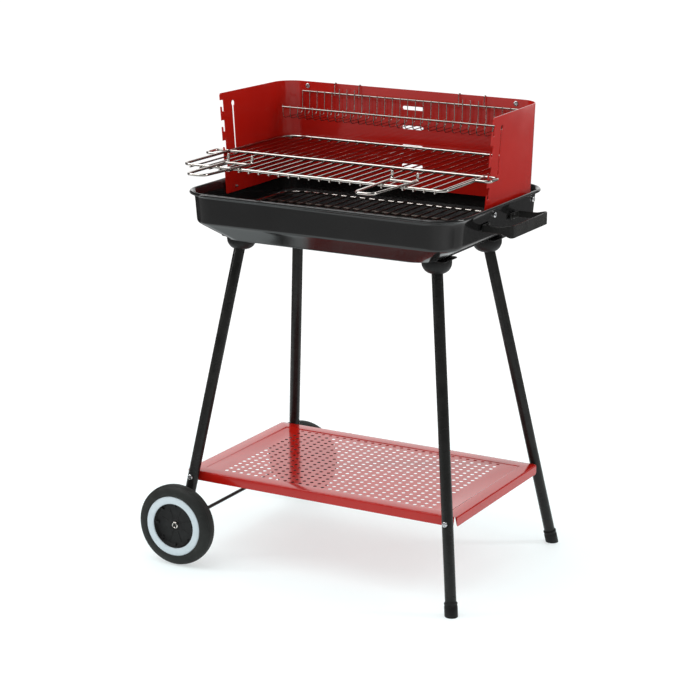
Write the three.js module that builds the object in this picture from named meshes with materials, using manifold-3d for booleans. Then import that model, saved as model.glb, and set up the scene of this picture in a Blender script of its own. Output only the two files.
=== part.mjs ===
// Charcoal trolley grill: a rectangular enamelled fire bowl on four splayed tube legs, with a
// three-sided windshield, a height-adjustable cooking grid, a warming rack, a shelf tray and two
// wheels. Millimetres, +Z up, the wheels at -X and the front at -Y.
import * as THREE from 'three';
import { mergeVertices } from 'three/addons/utils/BufferGeometryUtils.js';
import Module from 'manifold-3d';

const wasm = await Module();
wasm.setup();

// ---- Driving dimensions -------------------------------------------------------------------
const GAP = 0.3; // clearance left between pieces that rest on each other
const SHEET = 1.5; // sheet steel thickness
const BOLT_HOLE = 2.8; // radius of the holes for the windshield and handle bolts
const SCREW_HOLE = 2.6; // radius of the holes for the shelf screws
const LEG_BOLT_HOLE = 3.3; // radius of the holes for the leg bolts

// Fire bowl: outer half sizes at the rim, rim height and the levels below it.
const RIM = { halfX: 271, halfY: 199, top: 682, corner: 58 };
const WALL = { halfX: 262, halfY: 190, corner: 51, top: 671, bottom: 627 };
const FLOOR = { halfX: 210, halfY: 163, corner: 46, z: 597 };

// Windshield: half widths at the bowl and at the top, depth and height.
const SHIELD = { halfX: 258.7, front: -55, back: 166, bottom: 655, top: 837, corner: 38 };
const SHIELD_MESH = 140; // longest edge left on the sheet before it is leant out
const SHIELD_LEAN_BACK = 4; // how far each cheek's back edge leans out at the top
const SHIELD_LEAN_FRONT = 13; // how far each cheek's front edge leans out at the top
const NOTCH_PITCH = 36.4;
const NOTCH_SEAT_TOP = 803.6; // seat level of the highest notch
const NOTCH_COUNT = 4;
const VENT = { count: 4, pitch: 35.6, top: 803.5, x0: -10, x1: 26, halfHeight: 3.4 };
const KEYHOLE = { y: -14.4, top: 815, bottom: 733, eye: 5.2, halfWidth: 2.2 };
const GRID_NOTCH = 2; // the notch, counted from the top, that holds the cooking grid
const SHIELD_BOLTS = [{ y: -22, z: 665 }, { y: 140, z: 665 }];

// Cooking grid: half width, front and back rail lines, wires.
const GRID = { halfX: 254, front: -203, back: 155, cornerFront: 14, cornerBack: 36 };
const RAIL_D = 5;
const WIRE_D = 3;
const WELD = 1.3; // how deep crossing wires sink into each other
const GRID_PITCH = 19.8;
const NOTCH_BAR_Y = -47.8; // the bar that lies in the notches
const EAR_REACH = 281; // how far the bar's ears reach beyond the cheeks
const EAR_FRONT = -88;
const HANDLE_X = 161; // centre line of each lifting handle
const HANDLE_TIP = -313;
const HANDLE_ROOT = -164;
const HANDLE_HALF = { root: 24, tip: 17 }; // half widths of the lifting handle's loop

// Charcoal grate, lying on the sloping foot of the bowl wall.
const GRATE = { halfX: 250.5, halfY: 160, corner: 42, z: 627.2 };
const GRATE_PITCH = 19.8;
const GRATE_CROSS_Y = 60; // distance of each cross wire from the middle

// Warming rack, a wire trough that hooks over the windshield's back panel.
const RACK = { halfX: 222, back: 159.9, front: 84, railZ: 819, frontRailZ: 799, floorZ: 778 };
const RACK_PITCH = 15.8;
const RACK_RISE = { short: 3, tall: 9 }; // how far wires stand above the back rail
const HOOK_X = [102, 153];
const STOP_BOLT = { x: 210, z: 828.5 };

// Legs: tube size, and each leg's centre line from its foot to its top.
const LEG_D = 20;
const LEG_WALL = 1.2;
const LEG_TOP = { x: 192.5, y: 101.5, z: 590 };
const FOOT = { x: 289, y: 216.2 };
const WHEEL_LEG_FOOT = { x: -262.4, y: 199.6, z: 75 };
const WHEEL_LEG_TOP_X = -197;
const LEG_BEYOND_AXLE = 14; // length of wheel leg past the axle
const CUP = { radius: 26.5, top: 594.2, depth: 24.5 };
const CUP_SOCKET = 9; // depth of cup above the end of the leg tube
const FOOT_CAP = { radius: 11.8, length: 25, floor: 6 };
const PLATE = { half: 27.5, z: 594.6, thick: 2 };

// Shelf tray.
const SHELF = { halfX: 273, halfY: 172.5, top: 162, flange: 17.5, thick: 1.2 };
const SHELF_SCREW_Z = 156;

// Wheels, their pale trim rings and the axle.
const WHEEL = { radius: 75, width: 32, hub: 32.2, face: 245.6, tyreIn: 56, ringIn: 42, dish: 10 };
const AXLE = { x: -259, z: 75, radius: 3.2, half: 237.3 };

// Side handle on the right-hand wall.
const GRIP = {
  reach: 321, halfY: 75, low: 638, high: 660, armLow: 644, armHigh: 656, tab: 34, thick: 2.2,
};
const GRIP_BOLT = { y: 52, z: 650 };

// ---- Materials ----------------------------------------------------------------------------
const finish = (color, roughness, metalness) =>
  new THREE.MeshStandardMaterial({ color, roughness, metalness });
const RED_PAINT = finish(0xb01712, 0.25, 0.1);
const BLACK_ENAMEL = finish(0x0b0b0c, 0.15, 0.1);
const BLACK_PAINT = finish(0x141416, 0.4, 0.1);
const BLACK_PLASTIC = finish(0x1c1c1e, 0.6, 0);
const RUBBER = finish(0x202022, 0.75, 0);
const PALE_TRIM = finish(0xd2dce4, 0.4, 0);
const CHROME = finish(0xbfbab0, 0.15, 1);
const STEEL = finish(0xa0a2a5, 0.3, 1);

// ---- Solid modelling helpers --------------------------------------------------------------
const grill = new THREE.Group();

// Turns a closed geometry into a solid that can be cut and joined.
function solid(geometry) {
  const bare = geometry.clone();
  bare.deleteAttribute('normal');
  bare.deleteAttribute('uv');
  const merged = mergeVertices(bare, 1e-4);
  const corners = merged.index.array;
  const triangles = [];
  for (let i = 0; i < corners.length; i += 3) {
    const [a, b, c] = corners.slice(i, i + 3);
    if (a !== b && b !== c && c !== a) triangles.push(a, b, c);
  }
  const build = (triVerts) => new wasm.Manifold(new wasm.Mesh({
    numProp: 3,
    vertProperties: new Float32Array(merged.attributes.position.array),
    triVerts: new Uint32Array(triVerts),
  }));
  const body = build(triangles);
  return body.volume() > 0 ? body : build(triangles.reverse()); // faces always point out
}

function addPiece(name, shape, material) {
  const data = shape.getMesh();
  const geometry = new THREE.BufferGeometry();
  geometry.setAttribute('position', new THREE.BufferAttribute(data.vertProperties, 3));
  geometry.setIndex(new THREE.BufferAttribute(data.triVerts, 1));
  geometry.computeVertexNormals();
  const mesh = new THREE.Mesh(geometry, material);
  mesh.name = name;
  grill.add(mesh);
  return mesh;
}

const unite = (shapes) => shapes.reduce((sum, shape) => sum.add(shape));

// An axis-aligned block between two corners.
function block(x0, x1, y0, y1, z0, z1) {
  const geometry = new THREE.BoxGeometry(x1 - x0, y1 - y0, z1 - z0);
  geometry.translate((x0 + x1) / 2, (y0 + y1) / 2, (z0 + z1) / 2);
  return solid(geometry);
}

// A round bar from one point to another.
function bar(from, to, radius, sides = 12) {
  const start = new THREE.Vector3(...from);
  const end = new THREE.Vector3(...to);
  const axis = end.clone().sub(start);
  const geometry = new THREE.CylinderGeometry(radius, radius, axis.length(), sides);
  const turn = new THREE.Quaternion();
  turn.setFromUnitVectors(new THREE.Vector3(0, 1, 0), axis.clone().normalize());
  geometry.applyQuaternion(turn);
  geometry.translate(...start.add(end).multiplyScalar(0.5).toArray());
  return solid(geometry);
}

// A turned piece: profile of [radius, height] along an axis that starts at a point.
function turned(profile, at, direction, sides = 24) {
  const points = profile.map(([radius, height]) => new THREE.Vector2(radius, height));
  const geometry = new THREE.LatheGeometry(points, sides);
  const turn = new THREE.Quaternion();
  turn.setFromUnitVectors(new THREE.Vector3(0, 1, 0), new THREE.Vector3(...direction).normalize());
  geometry.applyQuaternion(turn);
  geometry.translate(...at);
  return solid(geometry);
}

// Replaces each inner corner of a run of points with an arc-like bend. A point may carry its
// own bend radius as a fourth number.
function rounded(points, radius, steps = 3) {
  const route = points.map(([x, y, z]) => new THREE.Vector3(x, y, z));
  const result = [route[0]];
  for (let i = 1; i < route.length - 1; i += 1) {
    const before = route[i - 1].clone().sub(route[i]);
    const after = route[i + 1].clone().sub(route[i]);
    const wanted = points[i][3] ?? radius;
    const reach = Math.min(wanted, before.length() / 2.05, after.length() / 2.05);
    const start = route[i].clone().add(before.setLength(reach));
    const end = route[i].clone().add(after.setLength(reach));
    const curve = new THREE.QuadraticBezierCurve3(start, route[i], end);
    result.push(...curve.getPoints(steps));
  }
  result.push(route[route.length - 1]);
  return result;
}

// A curve that visits its points one by one, for sweeping wire along.
class WireRoute extends THREE.Curve {
  constructor(points) {
    super();
    this.points = points;
  }

  getPointAt(t) {
    return this.points[Math.round(t * (this.points.length - 1))].clone();
  }

  getTangentAt(t) {
    const last = this.points.length - 1;
    const i = Math.round(t * last);
    const ahead = this.points[Math.min(i + 1, last)];
    return ahead.clone().sub(this.points[Math.max(i - 1, 0)]).normalize();
  }
}

// Wire of a round section swept along a run of points with bent corners.
function wire(points, diameter, sides = 6, bendRadius = 6, bendSteps = 2) {
  const route = new WireRoute(rounded(points, bendRadius, bendSteps));
  const section = new THREE.Shape();
  for (let i = 0; i < sides; i += 1) {
    const angle = (2 * Math.PI * (i + 0.5)) / sides;
    const x = (diameter / 2) * Math.cos(angle);
    const y = (diameter / 2) * Math.sin(angle);
    if (i === 0) section.moveTo(x, y);
    else section.lineTo(x, y);
  }
  const steps = route.points.length - 1;
  const geometry = new THREE.ExtrudeGeometry(section, { steps, extrudePath: route });
  return solid(geometry);
}

// ---- Fire bowl ----------------------------------------------------------------------------
const CORNER_STEPS = 6;
const RING_POINTS = 4 * (CORNER_STEPS + 1);

// The i-th point around a rounded rectangle.
function roundedRectanglePoint(i, ring) {
  const corner = Math.floor(i / (CORNER_STEPS + 1));
  const angle = (Math.PI / 2) * (corner + (i % (CORNER_STEPS + 1)) / CORNER_STEPS);
  const signX = corner === 0 || corner === 3 ? 1 : -1;
  const signY = corner < 2 ? 1 : -1;
  const x = signX * (ring.halfX - ring.corner) + ring.corner * Math.cos(angle);
  const y = signY * (ring.halfY - ring.corner) + ring.corner * Math.sin(angle);
  return [x, y, ring.z];
}

// A pan whose section is turned like a lathe's, but round a rounded rectangle.
function pan(rings) {
  const points = rings.map((ring, j) => new THREE.Vector2(ring.halfX, j));
  const geometry = new THREE.LatheGeometry(points, RING_POINTS);
  const position = geometry.attributes.position;
  for (let i = 0; i <= RING_POINTS; i += 1) {
    rings.forEach((ring, j) => {
      const place = roundedRectanglePoint(i % RING_POINTS, ring);
      position.setXYZ(i * rings.length + j, ...place);
    });
  }
  return solid(geometry);
}

// A ring of the pan: a named outline grown or shrunk on every side.
function grown(ring, by, z) {
  return { halfX: ring.halfX + by, halfY: ring.halfY + by, corner: ring.corner + by, z };
}

const CENTRE = { halfX: 0, halfY: 0, corner: 0 };

function fireBowl() {
  const rings = [
    { ...CENTRE, z: FLOOR.z },
    grown(FLOOR, -5, FLOOR.z),
    grown(FLOOR, 0, FLOOR.z + 1.4),
    grown(WALL, -8, WALL.bottom - 4.5),
    grown(WALL, -3.5, WALL.bottom),
    grown(WALL, 0, WALL.top),
    grown(WALL, 2, WALL.top + 4),
    grown(RIM, -2, RIM.top - 5.5),
    grown(RIM, 0, RIM.top - 2.5),
    grown(RIM, -1, RIM.top),
    grown(RIM, -4.5, RIM.top),
    grown(WALL, 1, WALL.top + 7.5),
    grown(WALL, -SHEET, WALL.top),
    grown(WALL, -3.5 - SHEET, WALL.bottom + 0.6),
    grown(WALL, -8 - SHEET, WALL.bottom - 3.1),
    grown(FLOOR, -SHEET / 2, FLOOR.z + SHEET + 1.4),
    grown(FLOOR, -5, FLOOR.z + SHEET),
    { ...CENTRE, z: FLOOR.z + SHEET },
  ];
  let bowl = pan(rings);
  for (const side of [-1, 1]) {
    for (const { y, z } of SHIELD_BOLTS) {
      bowl = bowl.subtract(bar([side * 240, y, z], [side * 280, y, z], BOLT_HOLE, 8));
    }
  }
  for (const y of [-GRIP_BOLT.y, GRIP_BOLT.y]) {
    bowl = bowl.subtract(bar([240, y, GRIP_BOLT.z], [280, y, GRIP_BOLT.z], BOLT_HOLE, 8));
  }
  for (const leg of LEGS) {
    bowl = bowl.subtract(bar([leg.cup.x, leg.cup.y, 580], [leg.cup.x, leg.cup.y, 610], LEG_BOLT_HOLE, 8));
  }
  return bowl;
}

// ---- Windshield ---------------------------------------------------------------------------
// Outline of the bent sheet, seen from above: two cheeks and the back panel with bent corners.
function shieldPlan() {
  const { halfX, front, back, corner } = SHIELD;
  const shape = new THREE.Shape();
  shape.moveTo(-halfX, front);
  shape.lineTo(-halfX, back - corner);
  shape.absarc(-halfX + corner, back - corner, corner, Math.PI, Math.PI / 2, true);
  shape.absarc(halfX - corner, back - corner, corner, Math.PI / 2, 0, true);
  shape.lineTo(halfX, front);
  shape.lineTo(halfX - SHEET, front);
  shape.absarc(halfX - corner, back - corner, corner - SHEET, 0, Math.PI / 2, false);
  shape.absarc(-halfX + corner, back - corner, corner - SHEET, Math.PI / 2, Math.PI, false);
  shape.lineTo(-halfX + SHEET, front);
  return shape;
}

// How far a cheek leans out at a place.
function shieldLean(y, z) {
  const rise = Math.max(0, (z - WALL.top) / (SHIELD.top - WALL.top));
  const toFront = (SHIELD.back - y) / (SHIELD.back - SHIELD.front);
  return rise * (SHIELD_LEAN_BACK + (SHIELD_LEAN_FRONT - SHIELD_LEAN_BACK) * toFront);
}

function windshield() {
  const height = SHIELD.top - SHIELD.bottom;
  const geometry = new THREE.ExtrudeGeometry(shieldPlan(), {
    depth: height,
    bevelEnabled: false,
    curveSegments: 6,
  });
  geometry.translate(0, 0, SHIELD.bottom);
  let shield = solid(geometry);
  const { front, back, halfX } = SHIELD;
  for (const side of [-1, 1]) {
    const [x0, x1] = [side * halfX - 8, side * halfX + 8];
    // Hook notches along the front edge: a mouth, and a seat behind a small lip.
    for (let i = 0; i < NOTCH_COUNT; i += 1) {
      const seat = NOTCH_SEAT_TOP - i * NOTCH_PITCH;
      shield = shield.subtract(block(x0, x1, front - 5, front + 10.2, seat + 9.5, seat + 21));
      shield = shield.subtract(block(x0, x1, front + 4.2, front + 10.2, seat, seat + 12));
    }
    // Keyhole slot behind the notches.
    const { y: slotY, top, bottom, eye, halfWidth } = KEYHOLE;
    shield = shield.subtract(bar([x0, slotY, top], [x1, slotY, top], eye, 12));
    shield = shield.subtract(block(x0, x1, slotY - halfWidth, slotY + halfWidth, bottom, top));
    for (const { y, z } of SHIELD_BOLTS) {
      shield = shield.subtract(bar([x0, y, z], [x1, y, z], BOLT_HOLE, 8));
    }
    const stop = side * STOP_BOLT.x;
    shield = shield.subtract(bar([stop, 155, STOP_BOLT.z], [stop, 175, STOP_BOLT.z], 2.5, 8));
  }
  // Round-ended vent slots in the middle of the back panel.
  for (let i = 0; i < VENT.count; i += 1) {
    const { x0, x1, halfHeight } = VENT;
    const z = VENT.top - i * VENT.pitch;
    shield = shield.subtract(block(x0, x1, back - 6, back + 6, z - halfHeight, z + halfHeight));
    shield = shield.subtract(bar([x0, back - 6, z], [x0, back + 6, z], halfHeight, 8));
    shield = shield.subtract(bar([x1, back - 6, z], [x1, back + 6, z], halfHeight, 8));
  }
  // Lean the cheeks out above the bowl; the finer mesh keeps the two faces parallel.
  return shield.refineToLength(SHIELD_MESH).warp((point) => {
    const [x, y, z] = point;
    const lean = shieldLean(y, z) * Math.min(1, Math.abs(x) / SHIELD.halfX);
    point[0] = x + Math.sign(x) * lean;
  });
}

// ---- Wire goods ---------------------------------------------------------------------------
// Closed frame of wire round a rounded rectangle, in two halves that join mid-side.
function wireFrame(halfX, y0, y1, z, corners, sides, bendSteps) {
  const half = (side) => wire([
    [-side, y0, z],
    [side * halfX, y0, z, corners[0]],
    [side * halfX, y1, z, corners[1]],
    [-side, y1, z],
  ], RAIL_D, sides, 0, bendSteps);
  return half(-1).add(half(1));
}

// How much shorter a straight wire is where a frame's corner curves away from its side.
function cornerCut(x, halfX, corner) {
  const inCorner = Math.max(0, Math.abs(x) - (halfX - corner));
  return corner - Math.sqrt(corner * corner - inCorner * inCorner);
}

// Evenly spaced places between two limits, centred on zero.
function spaced(limit, pitch) {
  const count = Math.floor(limit / pitch);
  return Array.from({ length: 2 * count + 1 }, (_, i) => (i - count) * pitch);
}

// Cooking grid: rail frame, thin wires under it, and the notch bar whose ears pass the cheeks.
const GRID_SEAT = NOTCH_SEAT_TOP - GRID_NOTCH * NOTCH_PITCH;
const GRID_RAIL_Z = GRID_SEAT + GAP + RAIL_D / 2;
const GRID_WIRE_Z = GRID_RAIL_Z - (RAIL_D + WIRE_D) / 2 + WELD;

function cookingGrid() {
  const { halfX, front, back, cornerFront, cornerBack } = GRID;
  const z = GRID_RAIL_Z;
  const bars = [wireFrame(halfX, front, back, z, [cornerFront, cornerBack], 6, 3)];
  for (const x of spaced(halfX - 8, GRID_PITCH)) {
    const end = back + 4 - cornerCut(x, halfX, cornerBack);
    bars.push(bar([x, front - 5, GRID_WIRE_Z], [x, end, GRID_WIRE_Z], WIRE_D / 2, 4));
  }
  // Notch bar with a hairpin ear at each end, welded back on the side rail.
  const ear = (side) => [
    [side * (halfX - 30), NOTCH_BAR_Y, z],
    [side * EAR_REACH, NOTCH_BAR_Y, z],
    [side * EAR_REACH, EAR_FRONT, z],
    [side * halfX, EAR_FRONT, z],
  ];
  bars.push(bar([-halfX + 25, NOTCH_BAR_Y, z], [halfX - 25, NOTCH_BAR_Y, z], RAIL_D / 2, 6));
  for (const side of [-1, 1]) bars.push(wire(ear(side), RAIL_D, 6, 12, 3));
  return unite(bars);
}

// Lifting handle: a long wire loop on the front rail, with a cross wire and two upright prongs.
function gridHandle(side) {
  const x = side * HANDLE_X;
  const { root, tip: narrow } = HANDLE_HALF;
  const low = GRID_RAIL_Z + RAIL_D - 0.8;
  const tip = low + 2;
  const prong = low + 15;
  const loop = wire([
    [x - root, HANDLE_ROOT, prong],
    [x - root, HANDLE_ROOT, low],
    [x - narrow, HANDLE_TIP, tip],
    [x + narrow, HANDLE_TIP, tip],
    [x + root, HANDLE_ROOT, low],
    [x + root, HANDLE_ROOT, prong],
  ], RAIL_D, 6, 10, 3);
  const crossY = HANDLE_ROOT - 12;
  const cross = bar([x - root - 1, crossY, low], [x + root + 1, crossY, low], RAIL_D / 2, 8);
  return loop.add(cross);
}

// Charcoal grate: thin wires on a frame with round corners and two cross wires.
function charcoalGrate() {
  const { halfX, halfY, corner, z } = GRATE;
  const wireZ = z + (RAIL_D + WIRE_D) / 2 - WELD;
  const bars = [wireFrame(halfX, -halfY, halfY, z, [corner, corner], 4, 3)];
  for (const x of spaced(halfX - 8, GRATE_PITCH)) {
    const reach = halfY + 3 - cornerCut(x, halfX, corner);
    bars.push(bar([x, -reach, wireZ], [x, reach, wireZ], WIRE_D / 2, 4));
  }
  for (const y of [-GRATE_CROSS_Y, GRATE_CROSS_Y]) {
    bars.push(bar([-halfX, y, z], [halfX, y, z], RAIL_D / 2, 4));
  }
  return unite(bars);
}

// Warming rack: trough of wires between two rails, with four hooks over the back panel.
function warmingRack() {
  const { halfX, back, front, railZ, frontRailZ, floorZ } = RACK;
  const inner = back - (RAIL_D + WIRE_D) / 2 + WELD;
  const lip = front + (RAIL_D + WIRE_D) / 2 - WELD;
  const bars = [
    bar([-halfX, back, railZ], [halfX, back, railZ], RAIL_D / 2, 4),
    bar([-halfX, front, frontRailZ], [halfX, front, frontRailZ], RAIL_D / 2, 4),
  ];
  const end = halfX - WIRE_D / 2;
  for (const x of [-end, ...spaced(halfX - RACK_PITCH, RACK_PITCH), end]) {
    const tall = Math.abs(Math.abs(x) - (HOOK_X[0] + HOOK_X[1]) / 2) < 20;
    const top = railZ + (tall ? RACK_RISE.tall : RACK_RISE.short);
    bars.push(wire([
      [x, inner, top],
      [x, inner, floorZ],
      [x, lip, floorZ],
      [x, lip, frontRailZ + 3],
    ], WIRE_D, 4, 9, 1));
  }
  const over = SHIELD.top + GAP + WIRE_D / 2;
  const behind = SHIELD.back + GAP + WIRE_D / 2;
  for (const side of [-1, 1]) {
    for (const x of HOOK_X) {
      bars.push(wire([
        [side * x, inner + 1.5, railZ - 4],
        [side * x, inner + 1.5, over],
        [side * x, behind, over],
        [side * x, behind, over - 12],
      ], WIRE_D, 4, 2, 1));
    }
  }
  return unite(bars);
}

// ---- Fasteners ----------------------------------------------------------------------------
// A domed bolt with its shank: under the head at a point, shank running along a direction.
function bolt(at, direction, headRadius, shankRadius, shankLength, headHeight = 3) {
  return turned([
    [0, -headHeight],
    [headRadius * 0.7, -headHeight * 0.75],
    [headRadius, 0],
    [shankRadius, 0],
    [shankRadius, shankLength],
    [0, shankLength],
  ], at, direction, 8);
}

function shieldBolt(side, { y, z }) {
  return bolt([side * (WALL.halfX + GAP), y, z], [-side, 0, 0], 5, 2.4, 9);
}

function stopBolt(side) {
  const lean = (shieldLean(SHIELD.back, STOP_BOLT.z) * STOP_BOLT.x) / SHIELD.halfX;
  const face = SHIELD.back - SHEET - GAP;
  return bolt([side * (STOP_BOLT.x + lean), face, STOP_BOLT.z], [0, 1, 0], 4.5, 2.1, 7, 1.3);
}

function gripBolt(side) {
  const head = WALL.halfX + 2 * GAP + GRIP.thick;
  return bolt([head, side * GRIP_BOLT.y, GRIP_BOLT.z], [-1, 0, 0], 5, 2.4, 9);
}

// ---- Legs ---------------------------------------------------------------------------------
// Every leg's foot, top and cup, by its place on the grill.
function legAt(name, sideX, sideY) {
  const wheeled = sideX < 0;
  const top = new THREE.Vector3(
    wheeled ? WHEEL_LEG_TOP_X : LEG_TOP.x,
    sideY * LEG_TOP.y,
    LEG_TOP.z,
  );
  const foot = wheeled
    ? new THREE.Vector3(WHEEL_LEG_FOOT.x, sideY * WHEEL_LEG_FOOT.y, WHEEL_LEG_FOOT.z)
    : new THREE.Vector3(FOOT.x, sideY * FOOT.y, 0);
  const axis = foot.clone().sub(top).normalize();
  return { name, wheeled, sideY, top, foot, axis, cup: { x: top.x, y: top.y } };
}
const LEGS = [
  legAt('front_left', -1, -1),
  legAt('front_right', 1, -1),
  legAt('rear_left', -1, 1),
  legAt('rear_right', 1, 1),
];

const along = (leg, distance) => leg.top.clone().addScaledVector(leg.axis, distance);

function legTube(leg) {
  const start = along(leg, CUP_SOCKET);
  const beyond = leg.wheeled ? LEG_BEYOND_AXLE : -FOOT_CAP.floor - GAP;
  const length = leg.foot.clone().sub(start).length() + beyond;
  const inner = LEG_D / 2 - LEG_WALL;
  let tube = turned([
    [inner, 0],
    [LEG_D / 2, 0],
    [LEG_D / 2, length],
    [inner, length],
    [inner, 0],
  ], start.toArray(), leg.axis.toArray(), 12);
  if (leg.wheeled) {
    const y = leg.sideY * WHEEL_LEG_FOOT.y;
    const hole = bar([AXLE.x, y - 20, AXLE.z], [AXLE.x, y + 20, AXLE.z], AXLE.radius + 0.5, 10);
    tube = tube.subtract(hole);
  }
  const screw = shelfScrewPlace(leg);
  const reach = screw.y + leg.sideY * 20;
  const from = screw.y - leg.sideY * 20;
  return tube.subtract(bar([screw.x, from, screw.z], [screw.x, reach, screw.z], SCREW_HOLE, 8));
}

// Half-round plastic cup that joins the leg to the plate under the bowl.
function legCup(leg) {
  const { radius, top, depth } = CUP;
  const profile = [[0, -depth], [9, -depth]];
  for (let i = 1; i <= 4; i += 1) {
    const angle = (Math.PI / 2) * (i / 4);
    profile.push([9 + (radius - 9) * Math.sin(angle), -depth + (depth - 5) * (1 - Math.cos(angle))]);
  }
  profile.push([radius, 0], [0, 0]);
  let cup = turned(profile, [leg.cup.x, leg.cup.y, top], [0, 0, 1], 16);
  const from = along(leg, CUP_SOCKET - GAP).toArray();
  cup = cup.subtract(bar(from, along(leg, 60).toArray(), LEG_D / 2 + GAP, 16));
  return cup.subtract(bar([leg.cup.x, leg.cup.y, 560], [leg.cup.x, leg.cup.y, 600], LEG_BOLT_HOLE, 8));
}

function legPlate(leg) {
  const { half, z, thick } = PLATE;
  const { x, y } = leg.cup;
  const plate = block(x - half, x + half, y - half, y + half, z, z + thick);
  return plate.subtract(bar([x, y, z - 5], [x, y, z + 5], LEG_BOLT_HOLE, 8));
}

function legBolt(leg) {
  const seat = FLOOR.z + SHEET + GAP;
  return bolt([leg.cup.x, leg.cup.y, seat], [0, 0, -1], 6.5, 2.9, 18, 3.6);
}

// Rubber-like foot cap, cut level where it stands on the ground.
function footCap(leg) {
  const socket = leg.foot.clone().addScaledVector(leg.axis, -FOOT_CAP.floor).toArray();
  const from = leg.foot.clone().addScaledVector(leg.axis, -FOOT_CAP.length).toArray();
  const to = leg.foot.clone().addScaledVector(leg.axis, 8).toArray();
  let cap = bar(from, to, FOOT_CAP.radius, 16);
  const beyond = leg.foot.clone().addScaledVector(leg.axis, -40).toArray();
  cap = cap.subtract(bar(socket, beyond, LEG_D / 2 + GAP, 16));
  const { x, y } = leg.foot;
  return cap.subtract(block(x - 40, x + 40, y - 40, y + 40, -40, 0));
}

// ---- Shelf --------------------------------------------------------------------------------
function shelfScrewPlace(leg) {
  const t = (SHELF_SCREW_Z - leg.top.z) / leg.axis.z;
  return leg.top.clone().addScaledVector(leg.axis, t);
}

function shelf() {
  const { halfX, halfY, top, flange, thick } = SHELF;
  const outer = block(-halfX, halfX, -halfY, halfY, top - flange, top);
  let tray = outer.subtract(
    block(-halfX + thick, halfX - thick, -halfY + thick, halfY - thick, top - flange - 5, top - thick),
  );
  // Corner reliefs between the bent flanges.
  for (const sx of [-1, 1]) {
    for (const sy of [-1, 1]) {
      const x = sx * halfX;
      const y = sy * halfY;
      tray = tray.subtract(block(x - 3.5, x + 3.5, y - 3.5, y + 3.5, top - flange - 5, top - 3));
    }
  }
  for (const leg of LEGS) {
    const { x } = shelfScrewPlace(leg);
    const y = leg.sideY * halfY;
    tray = tray.subtract(bar([x, y - 6, SHELF_SCREW_Z], [x, y + 6, SHELF_SCREW_Z], SCREW_HOLE, 8));
  }
  return tray;
}

function shelfScrew(leg) {
  const place = shelfScrewPlace(leg);
  const face = place.y + leg.sideY * (LEG_D / 2 + 1.2);
  return bolt([place.x, face, place.z], [0, -leg.sideY, 0], 5, 2.2, Math.abs(face) - SHELF.halfY + 8);
}

// ---- Wheels -------------------------------------------------------------------------------
// Distances below run from the wheel's outer face inwards.
function wheelPiece(profile, sideY, sides) {
  return turned(profile, [AXLE.x, sideY * WHEEL.face, AXLE.z], [0, -sideY, 0], sides);
}

function tyre(sideY) {
  const { radius, width, tyreIn } = WHEEL;
  return wheelPiece([
    [tyreIn, 1.5],
    [tyreIn + 4, 0],
    [radius - 8, 1.5],
    [radius - 3, 5],
    [radius - 0.6, 10],
    [radius, width / 2],
    [radius - 0.6, width - 10],
    [radius - 3, width - 5],
    [radius - 8, width - 1.5],
    [tyreIn, width - 2],
    [tyreIn, 1.5],
  ], sideY, 32);
}

function wheelDisc(sideY) {
  const { tyreIn, ringIn, width, hub, dish } = WHEEL;
  const bore = AXLE.radius + 0.4;
  return wheelPiece([
    [bore, dish],
    [ringIn - 5, dish],
    [ringIn - 1, 3],
    [ringIn - GAP, 3],
    [ringIn - GAP, 8],
    [tyreIn - GAP, 8],
    [tyreIn - GAP, width - 3],
    [tyreIn - 5, width - 3],
    [tyreIn - 5, dish + 8],
    [16, dish + 8],
    [13, hub],
    [bore, hub],
    [bore, dish],
  ], sideY, 24);
}

function trimRing(sideY) {
  const { tyreIn, ringIn } = WHEEL;
  return wheelPiece([
    [ringIn, 2.2],
    [ringIn + 2, 1.2],
    [tyreIn - 2.5, 1.2],
    [tyreIn - GAP, 2.2],
    [tyreIn - GAP, 8 - GAP],
    [ringIn, 8 - GAP],
    [ringIn, 2.2],
  ], sideY, 32);
}

function axle() {
  const { x, z, radius, half } = AXLE;
  return bar([x, -half, z], [x, half, z], radius);
}

function axleNut(sideY) {
  const bore = AXLE.radius + GAP;
  const seat = WHEEL.dish - GAP;
  return wheelPiece([
    [bore, seat],
    [7, seat],
    [7, seat - 1],
    [5.4, seat - 3.2],
    [bore, seat - 3.2],
    [bore, seat],
  ], sideY, 16);
}

function axleWasher(sideY) {
  const bore = AXLE.radius + 0.4;
  const inner = WHEEL.hub + GAP;
  return wheelPiece([
    [bore, inner],
    [9, inner],
    [9, inner + 1],
    [bore, inner + 1],
    [bore, inner],
  ], sideY, 16);
}

// ---- Side handle --------------------------------------------------------------------------
// Bent strip: two tabs on the bowl wall, two arms and the outer grip bar.
function sideHandle() {
  const { reach, halfY, low, high, armLow, armHigh, tab, thick: t } = GRIP;
  const wall = WALL.halfX + GAP;
  const strip = [
    block(reach - t, reach, -halfY, halfY, low, high),
    ...[-1, 1].map((side) => {
      const y0 = side < 0 ? -halfY : halfY - t;
      return block(wall, reach - 0.5, y0, y0 + t, armLow, armHigh);
    }),
    ...[-1, 1].map((side) => {
      const y0 = side < 0 ? -halfY : halfY - tab;
      return block(wall, wall + t, y0, y0 + tab, armLow, armHigh);
    }),
  ];
  let handle = unite(strip);
  for (const y of [-GRIP_BOLT.y, GRIP_BOLT.y]) {
    handle = handle.subtract(bar([250, y, GRIP_BOLT.z], [280, y, GRIP_BOLT.z], BOLT_HOLE, 8));
  }
  return handle;
}

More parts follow.
